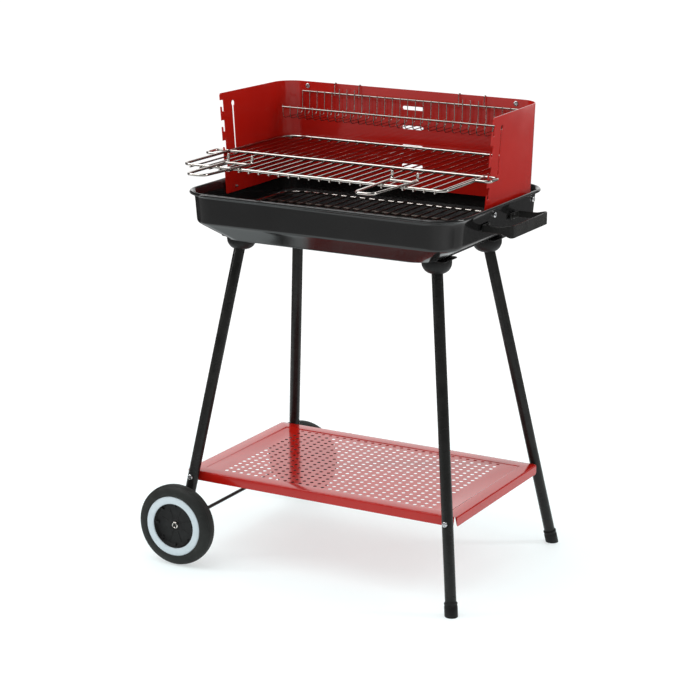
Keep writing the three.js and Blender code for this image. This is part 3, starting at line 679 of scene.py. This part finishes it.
def charcoal_grate():
    rails = Shape()
    wire_frame(rails, GRATE.x, -GRATE.y, GRATE.y, GRATE.z, GRATE.r, GRATE.r)
    rails.piece("coal_grate_rails", "charcoal_grate", CHROME, ["charcoal_grate"], "chrome_wire")
    # Painted shade: the grate's wires and cross wires take the shaded copy of the chrome; the rails
    # stay bright.
    wires = Shape()
    weld, past_rail = 1.2, 2.6
    wire_z = GRATE.z + RAIL + WIRE - weld
    for x in spaced(GRATE.x - 8, GRID_PITCH):
        end = GRATE.y + past_rail - corner_cut(x, GRATE.x, GRATE.r)
        sweep(wires, [at(x, y, wire_z) for y in (-end, 0, end)], WIRE, 8)
    for y in (-GRATE.cross_y, GRATE.cross_y):
        sweep(wires, [at(x, y, GRATE.z) for x in (-GRATE.x, 0, GRATE.x)], RAIL, 10)
    wires.piece("coal_grate_wires", "charcoal_grate", SHADED_CHROME_WIRE, (), "chrome_wire")


def warming_rack():
    shape = Shape()
    weld = RACK_RAIL + RACK_WIRE - 1.0
    inner, lip = RACK.back - weld, RACK.front + weld
    for y, z in ((RACK.back, RACK.rail), (RACK.front, RACK.lip)):
        sweep(shape, [at(x, y, z) for x in (-RACK.x, 0, RACK.x)], RACK_RAIL, 12)
    end = RACK.x - RACK_RAIL
    for x in (-end, *spaced(RACK.x - RACK_PITCH, RACK_PITCH), end):
        tall = abs(abs(x) - sum(HOOKS) / 2) < 20
        top = RACK.rail + (9 if tall else 2.2 if abs(x) < end else 0)
        route = [at(x, inner, top), at(x, inner, RACK.floor), at(x, lip, RACK.floor),
                 at(x, lip, RACK.lip + 3)]
        sweep(shape, arc_bend(route, 11, 6), RACK_WIRE, 8)
    over, behind = SHIELD.top + GAP + HOOK_WIRE, SHIELD.back + GAP + HOOK_WIRE
    for x in (-HOOKS[1], -HOOKS[0], HOOKS[0], HOOKS[1]):
        route = [at(x, inner + 1.5, RACK.rail - 4), at(x, inner + 1.5, over),
                 at(x, behind, over), at(x, behind, over - 12)]
        sweep(shape, arc_bend(route, 3, 6), HOOK_WIRE, 10)
    shape.piece("rack_wires", "warming_rack", RACK_WIRES, ["warming_rack"], "chrome_wire")


cooking_grid()
grid_handle(-1, "left")
grid_handle(1, "right")
charcoal_grate()
warming_rack()


# ---- Shelf tray ----
TRAY_BEND = 2.4
TRAY_SHEET = 0.4
TRAY_ARC = TRAY_BEND * math.pi / 2
TRAY_FLAT_X, TRAY_FLAT_Y = SHELF.x - TRAY_BEND, SHELF.y - TRAY_BEND
TRAY_DROP = SHELF.flange - TRAY_BEND
SUNK_X, SUNK_Y, SUNK, SUNK_RUN = 250, 149, 1.3, 4.0  # the middle field lies a little lower


def folded(distance):
    """How far out, how far down, and which way a sheet faces, past the start of its bend."""
    if distance <= 0:
        return distance, 0.0, 0.0
    if distance < TRAY_ARC:
        angle = distance / TRAY_BEND
        return TRAY_BEND * math.sin(angle), TRAY_BEND * (1 - math.cos(angle)), angle
    return TRAY_BEND, TRAY_BEND + distance - TRAY_ARC, math.pi / 2


def tray_place(u, v, depth):
    out_x, down_x, angle_x = folded(abs(u) - TRAY_FLAT_X)
    out_y, down_y, angle_y = folded(abs(v) - TRAY_FLAT_Y)
    angle = max(angle_x, angle_y)
    x, y, z = TRAY_FLAT_X + out_x, TRAY_FLAT_Y + out_y, SHELF.top - down_x - down_y
    if angle_x > 0:
        x -= depth * math.sin(angle)
    elif angle_y > 0:
        y -= depth * math.sin(angle)
    z -= depth * math.cos(angle)
    inset = min(SUNK_X - abs(u), SUNK_Y - abs(v))
    t = min(1.0, max(0.0, inset / SUNK_RUN))
    z -= SUNK * t * t * (3 - 2 * t)
    return at(math.copysign(x, u), math.copysign(y, v), z)


def hole_middle(i, j):
    return (i - (HOLE_COLUMNS - 1) / 2) * HOLE_PITCH_X, (j - (HOLE_ROWS - 1) / 2) * HOLE_PITCH_Y


def near_hole(p):
    """Whether a flat point of the tray is in one of its holes."""
    i = round(p.x / HOLE_PITCH_X + (HOLE_COLUMNS - 1) / 2)
    j = round(p.y / HOLE_PITCH_Y + (HOLE_ROWS - 1) / 2)
    if not (0 <= i < HOLE_COLUMNS and 0 <= j < HOLE_ROWS):
        return False
    x, y = hole_middle(i, j)
    return math.hypot(p.x - x, p.y - y) < HOLE_RADIUS * 0.985


def shelf_tray():
    far_x, far_y = TRAY_FLAT_X + TRAY_ARC + TRAY_DROP, TRAY_FLAT_Y + TRAY_ARC + TRAY_DROP
    relief, chamfer = 2.2, 3
    near_x, near_y = TRAY_FLAT_X - relief, TRAY_FLAT_Y - relief
    outline = []
    for sx, sy in ((1, 1), (-1, 1), (-1, -1), (1, -1)):
        corner = [(far_x, near_y - chamfer), (far_x - chamfer, near_y), (near_x + 0.7, near_y),
                  (near_x, near_y + 0.7), (near_x, far_y - chamfer), (near_x - chamfer, far_y)]
        if sx * sy < 0:
            corner = corner[::-1]
        outline += [(sx * x, sy * y) for x, y in corner]
    holes = []
    for i in range(HOLE_COLUMNS):
        for j in range(HOLE_ROWS):
            holes.append(circle(*hole_middle(i, j), HOLE_RADIUS, 12, 0.26))
    creases = []
    for k in range(5):
        x, y = TRAY_FLAT_X + TRAY_ARC * k / 4, TRAY_FLAT_Y + TRAY_ARC * k / 4
        for side in (-1, 1):
            creases.append(((side * x, -near_y + 0.1), (side * x, near_y - 0.1)))
            creases.append(((-near_x + 0.1, side * y), (near_x - 0.1, side * y)))
    for k in range(5):
        x, y = SUNK_X - SUNK_RUN * k / 4, SUNK_Y - SUNK_RUN * k / 4
        ring = [(x, y), (-x, y), (-x, -y), (x, -y)]
        creases += list(zip(ring, ring[1:] + ring[:1]))
    shape = Shape()
    cut_sheet(shape, outline, holes, creases, tray_place, near_hole, TRAY_SHEET)
    shape.piece("shelf_tray", "frame", RED, ["lower_shelf"], "red_paint", sharp=30)


shelf_tray()


# ---- Legs ----
LEGS = {  # each leg's centre line, from its top to its foot or its axle
    "front_left": ((-197, -101.5, 590), (-262.4, -199.6, AXLE.z)),
    "front_right": ((192.5, -101.5, 590), (289, -216.2, 0)),
    "rear_left": ((-197, 101.5, 590), (-262.4, 199.6, AXLE.z)),
    "rear_right": ((192.5, 101.5, 590), (289, 216.2, 0)),
}


def screw(name, node, place, direction, head, shank, length, material=ZINC, slot="zinc_fastener"):
    """Cross-recessed pan-head screw. Its head, a radius and a height, stands out against the
    direction of its shank."""
    radius, height = head
    axis = Vector(direction).normalized()
    across, up = square_to(axis)
    sides = 32
    rows = [(0.08, 1.0), (0.16, 1.0), (0.28, 0.99), (0.42, 0.97), (0.56, 0.93), (0.70, 0.86),
            (0.84, 0.74), (0.94, 0.56), (1.0, 0.32), (1.0, 0.0)]
    points = []
    for share, rise in rows:
        for i in range(sides):
            angle = math.tau * i / sides
            x, y = math.cos(angle) * share, math.sin(angle) * share
            arm = min(abs(x), abs(y)) < 0.13 and max(abs(x), abs(y)) < 0.60
            lift = height * (rise - (0.45 if arm else 0))
            spoke = across * (x * radius) + up * (y * radius)
            points.append(place + (spoke - axis * lift) * MM)
    for reach, distance in ((shank, 0), (shank, length - 0.6), (shank - 0.6, length)):
        for spoke in spokes(across, up, sides):
            points.append(place + (spoke * reach + axis * distance) * MM)
    shape = Shape()
    shape.add(points, capped(len(rows) + 3, sides))
    shape.piece(name, "frame", material, [node], slot)


def leg_tube(name, start, axis, length):
    shape = Shape()
    bore = LEG_RADIUS - LEG_WALL
    profile = rounded_profile([(bore, 0), (LEG_RADIUS, 0), (LEG_RADIUS, length), (bore, length)],
                              0.4, 2)
    turned(shape, profile, start, axis, 32)
    shape.piece(f"leg_tube_{name}", "frame", BLACK, [f"leg_{name}"], "black_paint")


def leg_cup(name, x, y):
    shape = Shape()
    radius, neck, depth = CUP.radius, CUP.neck, CUP.depth
    profile = [(0, -depth), (neck - 0.5, -depth)]
    for i in range(1, 13):
        angle = math.pi / 2 * i / 12
        profile.append((neck + (radius - neck) * math.sin(angle),
                        -depth + (depth - 5) * (1 - math.cos(angle))))
    profile += [(radius, -1.2), (radius - 0.35, -0.35), (radius - 1.2, 0), (0, 0)]
    turned(shape, profile, at(x, y, CUP.top), (0, 0, 1), 48)
    shape.piece(f"cup_{name}", "frame", PLASTIC, [f"leg_cup_{name}"], "black_plastic", sharp=50)


def leg_plate(name, x, y):
    shape = Shape()
    half, z, thick = PLATE.half, PLATE.z, PLATE.thick
    rows = [(half - 0.5, z), (half, z + 0.5), (half, z + thick - 0.5), (half - 0.5, z + thick)]
    points = []
    for size, level in rows:
        ring = rounded_rectangle(size, size, PLATE.r, level, 6)
        points += [at(x + px, y + py, pz) for px, py, pz in ring]
    shape.add(points, capped(len(rows), len(points) // len(rows)))
    shape.piece(f"bracket_{name}", "frame", BLACK, [f"leg_plate_{name}"], "black_paint")


def foot_cap(name, foot, axis):
    """Moulded cap on the end of a leg, cut level with the ground, with two raised beads."""
    shape = Shape()
    across, up = square_to(axis)
    sides = 40
    rows = [(10.3, -24.4), (10.9, -25), (11.4, -24.6), (11.8, -23.4), (11.8, -21.6), (11.3, -20.8),
            (11.3, -18.6), (11.8, -17.8), (11.8, -9)]
    points = []
    for radius, distance in rows:
        for spoke in spokes(across, up, sides):
            points.append(foot + (spoke * radius + axis * distance) * MM)
    for radius, level in ((11.8, 1.2), (11.4, 0.3), (10.6, 0.0)):
        for spoke in spokes(across, up, sides):
            start = foot + spoke * (radius * MM)
            points.append(start + axis * ((level * MM - start.z) / axis.z))
    shape.add(points, capped(len(rows) + 3, sides))
    shape.piece(f"foot_{name}", "frame", PLASTIC, [f"foot_cap_{name}"], "black_plastic")


for leg_name, (leg_top, leg_foot) in LEGS.items():
    top_point, foot_point = at(*leg_top), at(*leg_foot)
    leg_axis = (foot_point - top_point).normalized()
    on_wheel = leg_foot[2] > 0
    tube_start = top_point + leg_axis * TUBE_START * MM
    tube_length = (foot_point - tube_start).length / MM + (BEYOND_AXLE if on_wheel else -CAP_FLOOR)
    leg_tube(leg_name, tube_start, leg_axis, tube_length)
    leg_cup(leg_name, leg_top[0], leg_top[1])
    leg_plate(leg_name, leg_top[0], leg_top[1])
    if not on_wheel:
        foot_cap(leg_name, foot_point, leg_axis)
    screw(f"cup_bolt_{leg_name}", f"leg_bolt_{leg_name}",
          at(leg_top[0], leg_top[1], FLOOR.z + LEG_BOLT.rise), (0, 0, -1), LEG_BOLT.head,
          LEG_BOLT.shank, LEG_BOLT.length)
    side_y = math.copysign(1, leg_top[1])
    screw_point = top_point + leg_axis * ((SHELF_SCREW.z * MM - top_point.z) / leg_axis.z)
    face_y = (screw_point.y - ORIGIN.y) / MM + side_y * (LEG_RADIUS + 1.2)
    screw_head = Vector((screw_point.x, ORIGIN.y + face_y * MM, SHELF_SCREW.z * MM))
    screw(f"tray_screw_{leg_name}", f"shelf_screw_{leg_name}", screw_head, (0, -side_y, 0),
          SCREW_HEAD, SHELF_SCREW.shank, abs(face_y) - SHELF.y + SHELF_SCREW.bite)


# ---- Wheels and axle ----
WHEEL = Dims(radius=75, width=32, hub=32.2, face=245.6, tyre_in=56, ring_in=42, dish=10, bore=3.6)
DISH_TABS, TAB_STEP = 8, 0.39  # ribs of the dish, and the angle from each rib to its tab


def wheel_part(side, profile, sides):
    """A profile turned about the axle; distances run from the wheel's outer face inwards."""
    shape = Shape()
    turned(shape, profile, at(AXLE.x, side * WHEEL.face, AXLE.z), (0, -side, 0), sides)
    return shape


def wheel_block(shape, side, angle, rows):
    """A small moulded block on the wheel: rows of (radius, half width, top, foot)."""
    axis = Vector((0, -side, 0))
    spoke = Vector((math.cos(angle), 0, math.sin(angle)))
    across = axis.cross(spoke)
    points = []
    for reach, half, top, foot in rows:
        for width, level in ((half, foot), (half, top + 0.25), (half - 0.25, top),
                             (0.25 - half, top), (-half, top + 0.25), (-half, foot)):
            offset = spoke * reach + across * width + axis * level
            points.append(at(AXLE.x, side * WHEEL.face, AXLE.z) + offset * MM)
    shape.add(points, capped(len(rows), 6))


def wheel(side, name):
    body = f"{name}_wheel"
    r, width, dish, bore = WHEEL.radius, WHEEL.width, WHEEL.dish, WHEEL.bore
    tyre_in, ring_in = WHEEL.tyre_in, WHEEL.ring_in
    half = [(tyre_in, 2.0), (tyre_in + 0.5, 1.2), (tyre_in + 2, 0.5), (tyre_in + 5, 0.1),
            (tyre_in + 8, 0.5), (r - 7.5, 1.6), (r - 5, 2.8), (r - 3.3, 4.2), (r - 2.2, 5.6),
            (r - 1.5, 6.9), (r - 1.9, 7.4), (r - 1.9, 8.2), (r - 1.1, 8.8), (r - 0.5, 10.6),
            (r - 0.15, 13.4)]
    profile = half + [(r, width / 2 - 0.4), (r, width / 2 + 0.4)]
    profile += [(radius, width - distance) for radius, distance in reversed(half)]
    wheel_part(side, profile, 128).piece(f"wheel_tyre_{name}", body, RUBBER, [f"tyre_{name}"],
                                         "tyre", sharp=50)

    profile = [(bore, dish), (9.5, dish), (10, dish - 0.5), (12, dish - 0.5), (12.6, dish),
               (ring_in - 5, dish), (ring_in - 3.6, dish - 1), (ring_in - 1.3, 3.6),
               (ring_in - 0.3, 3.1), (ring_in - 0.3, 8), (tyre_in - 0.3, 8),
               (tyre_in - 0.3, width - 3), (tyre_in - 5, width - 3), (tyre_in - 5, dish + 8),
               (16, dish + 8), (13, WHEEL.hub), (bore, WHEEL.hub)]
    disc = wheel_part(side, rounded_profile(profile, 0.35, 2), 96)
    for i in range(DISH_TABS):
        angle = math.tau * (i + 0.5) / DISH_TABS
        wheel_block(disc, side, angle, [(12, 0.9, dish - 0.5, dish + 1),
                                        (32, 0.8, dish - 0.6, dish + 1)])
        wheel_block(disc, side, angle + TAB_STEP, [(ring_in - 7.5, 2.4, dish - 2.2, dish + 1),
                                                   (ring_in - 2.4, 2.4, dish - 5, dish + 1)])
    disc.piece(f"wheel_centre_{name}", body, PLASTIC, [f"wheel_disc_{name}"], "black_plastic")

    profile = [(ring_in, 2.6), (ring_in + 0.5, 1.8), (ring_in + 1.8, 1.3), (tyre_in - 2.4, 1.3),
               (tyre_in - 0.9, 1.7), (tyre_in - 0.3, 2.4), (tyre_in - 0.3, 7.7), (ring_in, 7.7)]
    wheel_part(side, profile, 128).piece(f"wheel_ring_{name}", body, PALE,
                                         [f"wheel_trim_{name}"], "pale_trim")

    seat = dish - 0.3
    profile = [(3.5, seat), (7, seat), (7, seat - 0.8), (6.6, seat - 1.8), (5.8, seat - 2.7),
               (5.0, seat - 3.1), (4.2, seat - 2.9), (3.6, seat - 2.2)]
    wheel_part(side, profile, 36).piece(f"push_nut_{name}", "frame", CHROME,
                                        [f"axle_nut_{name}"], "chrome_wire")

    inner = WHEEL.hub + 0.3
    profile = rounded_profile([(bore, inner), (9, inner), (9, inner + 1), (bore, inner + 1)],
                              0.2, 2)
    wheel_part(side, profile, 36).piece(f"washer_{name}", "frame", ZINC,
                                        [f"axle_washer_{name}"], "zinc_fastener")


wheel(-1, "front")
wheel(1, "rear")
rod = Shape()
rod_ends = (-AXLE.half, -236, 0, 236, AXLE.half)
sweep(rod, [at(AXLE.x, y, AXLE.z) for y in rod_ends], AXLE.radius, 24)
rod.piece("axle_rod", "frame", BLACK, ["axle"], "black_paint")


# ---- Side handle ----
def side_handle():
    """A flat strip bent into a handle: tabs on the bowl wall, two arms and a deeper grip."""
    half_y, tab, thick = GRIP.half_y, GRIP.tab, GRIP.thick
    below, above = GRIP.deeper
    widens, over = 296, 22  # x where the arms start to widen, and over what length
    near, far = GRIP.wall + thick / 2, GRIP.reach - thick / 2
    y = half_y - thick / 2
    corners = [at(near, -half_y + tab, 0), (at(near, -y, 0), 3), (at(far, -y, 0), 7),
               (at(far, y, 0), 7), (at(near, y, 0), 3), at(near, half_y - tab, 0)]
    run = arc_bend(corners, 3, 8)
    fine = []
    for a, b in zip(run, run[1:]):
        steps = max(1, int((b - a).length / MM / 6))
        fine += [a.lerp(b, i / steps) for i in range(steps)]
    fine.append(run[-1])
    points = []
    for point, tangent in zip(fine, directions(fine)):
        out = tangent.cross(Vector((0, 0, 1)))
        x = (point.x - ORIGIN.x) / MM
        share = min(1.0, max(0.0, (x - widens) / over))
        share = share * share * (3 - 2 * share)
        low, high = GRIP.low - below * share, GRIP.high + above * share
        half, edge = thick / 2 * 0.98, 0.5
        section = [(-half, low + edge), (-half + edge, low), (half - edge, low), (half, low + edge),
                   (half, high - edge), (half - edge, high), (-half + edge, high),
                   (-half, high - edge)]
        points += [point + out * (w * MM) + Vector((0, 0, z * MM)) for w, z in section]
    shape = Shape()
    shape.add(points, capped(len(fine), 8))
    shape.piece("handle_strip", "frame", BLACK, ["side_handle"], "black_paint")


side_handle()

for side, end in ((-1, "front"), (1, "rear")):
    bolt_place = at(GRIP.wall + GRIP.thick + GAP, side * GRIP_BOLT.y, GRIP_BOLT.z)
    screw(f"handle_screw_{end}", f"handle_bolt_{end}", bolt_place, (-1, 0, 0), SCREW_HEAD,
          GRIP_BOLT.shank, GRIP_BOLT.length, BLACK, "black_paint")
for side, hand in ((-1, "left"), (1, "right")):
    for end, bolt_y in SHIELD_BOLT.y.items():
        bolt_place = at(side * GRIP.wall, bolt_y, SHIELD_BOLT.z)
        screw(f"shield_screw_{end}_{hand}", f"windshield_bolt_{end}_{hand}", bolt_place,
              (-side, 0, 0), SCREW_HEAD, SHIELD_BOLT.shank, SHIELD_BOLT.length)
    stop_rise = (STOP_BOLT.z - WALL.top) / (SHIELD.top - WALL.top)
    stop_x = STOP_BOLT.x + stop_rise * LEAN_BACK * STOP_BOLT.x / SHIELD.x
    bolt_place = at(side * stop_x, SHIELD.back - STOP_BOLT.sunk, STOP_BOLT.z)
    screw(f"stop_screw_{hand}", f"rack_stop_bolt_{hand}", bolt_place, (0, 1, 0), STOP_BOLT.head,
          STOP_BOLT.shank, STOP_BOLT.length)


# ---- Floor, light and camera ----
VIEW = Vector((-0.4596, 0.8497, -0.2585)).normalized()
AWAY = Vector((VIEW.x, VIEW.y, 0)).normalized()
ASIDE = Vector((AWAY.y, -AWAY.x, 0))
CAMERA = Dims(place=(1807.2, -3395.9, 1413.0), lens=112.94, roll=0.48)


def stage_mesh(name, points, faces, material):
    mesh = bpy.data.meshes.new(name)
    mesh.from_pydata([tuple(p) for p in points], [], faces)
    mesh.materials.append(material)
    obj = placed(name, mesh)
    return obj


def flat_mesh(name, start, across, along, rows, material):
    """A flat rectangle from one corner and two edges, divided into rows both ways."""
    points = [start + across * (i / rows) + along * (j / rows)
              for j in range(rows + 1) for i in range(rows + 1)]
    faces = [(a, a + 1, a + rows + 2, a + rows + 1)
             for a in range(rows * (rows + 1)) if (a + 1) % (rows + 1)]
    return stage_mesh(name, points, faces, material)


def ground():
    """A pale floor. Under the grill its colour and glow are painted a faint cool tint, which
    cancels the red light that the shelf casts into the shade there.
    """
    f = Finish("studio_floor", specular=0.1)
    reach = f.operate("ShaderNodeVectorMath", "LENGTH", f.place)
    # Painted light: a mask for the faint cool tint painted under the grill, against the shelf's red
    # light.
    painted_cool_mask = f.remap(reach.outputs["Value"], 0.55, 1.3, 1, 0)
    painted_cool = f.blend(painted_cool_mask, (1.0, 1.0, 1.0), (0.87, 0.99, 1.0))
    color = f.blend(f.clouds(2.5, 3, 0.3, 0.7, 0, 1), (0.50,) * 3, (0.54,) * 3)
    painted_color = f.operate("ShaderNodeVectorMath", "MULTIPLY", color, painted_cool)
    # Painted light: the floor's glow is also tinted cool under the grill.
    f.link(f.blend(painted_cool_mask, (1.0, 1.0, 1.0), (0.96, 1.0, 1.0)), f.bsdf, "Emission Color")
    f.bsdf.inputs["Emission Strength"].default_value = 0.52
    roughness = f.clouds(12, 4, 0.3, 0.7, 0.6, 0.75)
    material = f.done(painted_color.outputs["Vector"], roughness, f.bump(f.noise(300, 3), 0.05, 0.0003))
    half, low = 40, -0.0003
    flat_mesh("floor", Vector((-half, -half, low)), Vector((2 * half, 0, 0)),
              Vector((0, 2 * half, 0)), 16, material)


def glowing(name, strength, shades=(0.010, 0.014), scale=4):
    """A matt material that gives off its own white light."""
    f = Finish(name, specular=0.1)
    f.bsdf.inputs["Emission Color"].default_value = (1, 1, 1, 1)
    f.bsdf.inputs["Emission Strength"].default_value = strength
    color = f.blend(f.noise(scale), (shades[0],) * 3, (shades[1],) * 3)
    f.done(color, f.remap(f.noise(2 * scale), 0, 1, 0.8, 0.9))
    return f


def only_in_reflections(obj):
    obj.visible_camera = obj.visible_diffuse = False
    obj.visible_shadow = obj.visible_transmission = False


def dark_card(name, near, far, left, right, glow):
    """A dim studio card lying on the floor, which only reflections see. Its glow changes from
    left to right, in equal steps."""
    f = glowing(name, 1)
    across = f.operate("ShaderNodeVectorMath", "DOT_PRODUCT", f.place)
    across.inputs[1].default_value = ASIDE
    ramp = f.tree.nodes.new("ShaderNodeValToRGB")
    ramp.color_ramp.interpolation = "EASE"
    stops = ramp.color_ramp.elements
    while len(stops) < len(glow):
        stops.new(0.5)
    for i, level in enumerate(glow):
        stops[i].position = i / (len(glow) - 1)
        stops[i].color = (level, level, level, 1)
    f.link(f.remap(across.outputs["Value"], left, right, 0, 1), ramp, "Fac")
    f.link(ramp.outputs["Color"], f.bsdf, "Emission Color")
    start = AWAY * near + ASIDE * left + Vector((0, 0, 0.002))
    only_in_reflections(flat_mesh(name, start, ASIDE * (right - left), AWAY * (far - near), 4,
                                  f.material))


def highlight_panel(name, middle, half_x, half_y, glow):
    """A bright panel overhead that only reflections see, for the thin lights on wire and rims."""
    material = glowing(name, glow, (0.80, 0.84)).material
    start = middle - Vector((half_x, half_y, 0))
    only_in_reflections(flat_mesh(name, start, Vector((2 * half_x, 0, 0)),
                                  Vector((0, 2 * half_y, 0)), 2, material))


def area_light(name, place, aim, size, power):
    data = bpy.data.lights.new(name, "AREA")
    data.shape = "RECTANGLE"
    data.size, data.size_y = size
    data.energy = power
    obj = placed(name, data)
    obj.location = place
    obj.rotation_euler = (Vector(aim) - Vector(place)).to_track_quat("-Z", "Y").to_euler()


def camera():
    right = VIEW.cross(Vector((0, 0, 1))).normalized()
    up = right.cross(VIEW)
    roll = math.radians(CAMERA.roll)
    right, up = (right * math.cos(roll) + up * math.sin(roll),
                 up * math.cos(roll) - right * math.sin(roll))
    data = bpy.data.cameras.new("camera")
    data.lens = CAMERA.lens
    data.sensor_width = 36
    data.clip_end = 200
    obj = placed("camera", data)
    obj.location = at(*CAMERA.place)
    basis = Matrix(((right.x, up.x, -VIEW.x), (right.y, up.y, -VIEW.y), (right.z, up.z, -VIEW.z)))
    obj.rotation_euler = basis.to_euler()
    bpy.context.scene.camera = obj


def dim_dome():
    """A dim studio shell that only reflections see, so that gloss reads against dark walls."""
    radius, rings, sides = 18.0, 12, 32
    points = []
    for j in range(rings + 1):
        rise = math.pi / 2 * (j / rings) * 0.995 - 0.02
        for spoke in spokes(Vector((1, 0, 0)), Vector((0, 1, 0)), sides):
            points.append((spoke * math.cos(rise) + Vector((0, 0, math.sin(rise)))) * radius)
    faces = ring_faces(rings + 1, sides, closed=False)
    faces.append(tuple(range(rings * sides, (rings + 1) * sides)))
    material = glowing("studio_shell", 0.07, scale=1).material
    only_in_reflections(stage_mesh("dome", points, faces, material))


def studio_world():
    world = bpy.data.worlds.new("studio")
    world.use_nodes = True
    fill = world.node_tree.nodes["Background"]
    fill.inputs["Color"].default_value = (1, 1, 1, 1)
    fill.inputs["Strength"].default_value = 0.80
    bpy.context.scene.world = world


ground()
dim_dome()
dark_card("front_card", -0.85, -5.0, -3.0, 3.0, (0.20, 0.28, 0.42, 0.58, 0.78, 0.3, 0.0))
dark_card("side_card", -0.85, 0.9, 1.15, 3.6, (0.85, 0.40, 0.0))
dark_card("left_card", -0.85, 0.9, -5.0, -0.9, (0.40, 0.36, 0.32))
dark_card("back_card", 0.9, 5.0, -5.0, 3.6, (0.35, 0.30, 0.0, 0.0, 0.10, 0.18))
highlight_panel("rim_panel", Vector((-1.2, -0.9, 3.0)), 1.2, 1.8, 1.0)
area_light("top_softbox", (-0.5, -0.6, 3.0), (0, 0, 0.4), (2.6, 2.6), 38)
area_light("left_strip", (-2.4, -1.6, 2.2), (0, 0, 0.6), (0.35, 1.8), 24)
area_light("right_strip", (2.2, 1.2, 2.3), (0, 0, 0.6), (0.35, 1.6), 24)
backdrop = AWAY * 12.5 + ASIDE * 4.0 + Vector((0, 0, 5.0))
area_light("backdrop", backdrop, backdrop - AWAY, (17.5, 8.5), 575)
studio_world()
bpy.context.scene.view_settings.view_transform = "Standard"
camera()
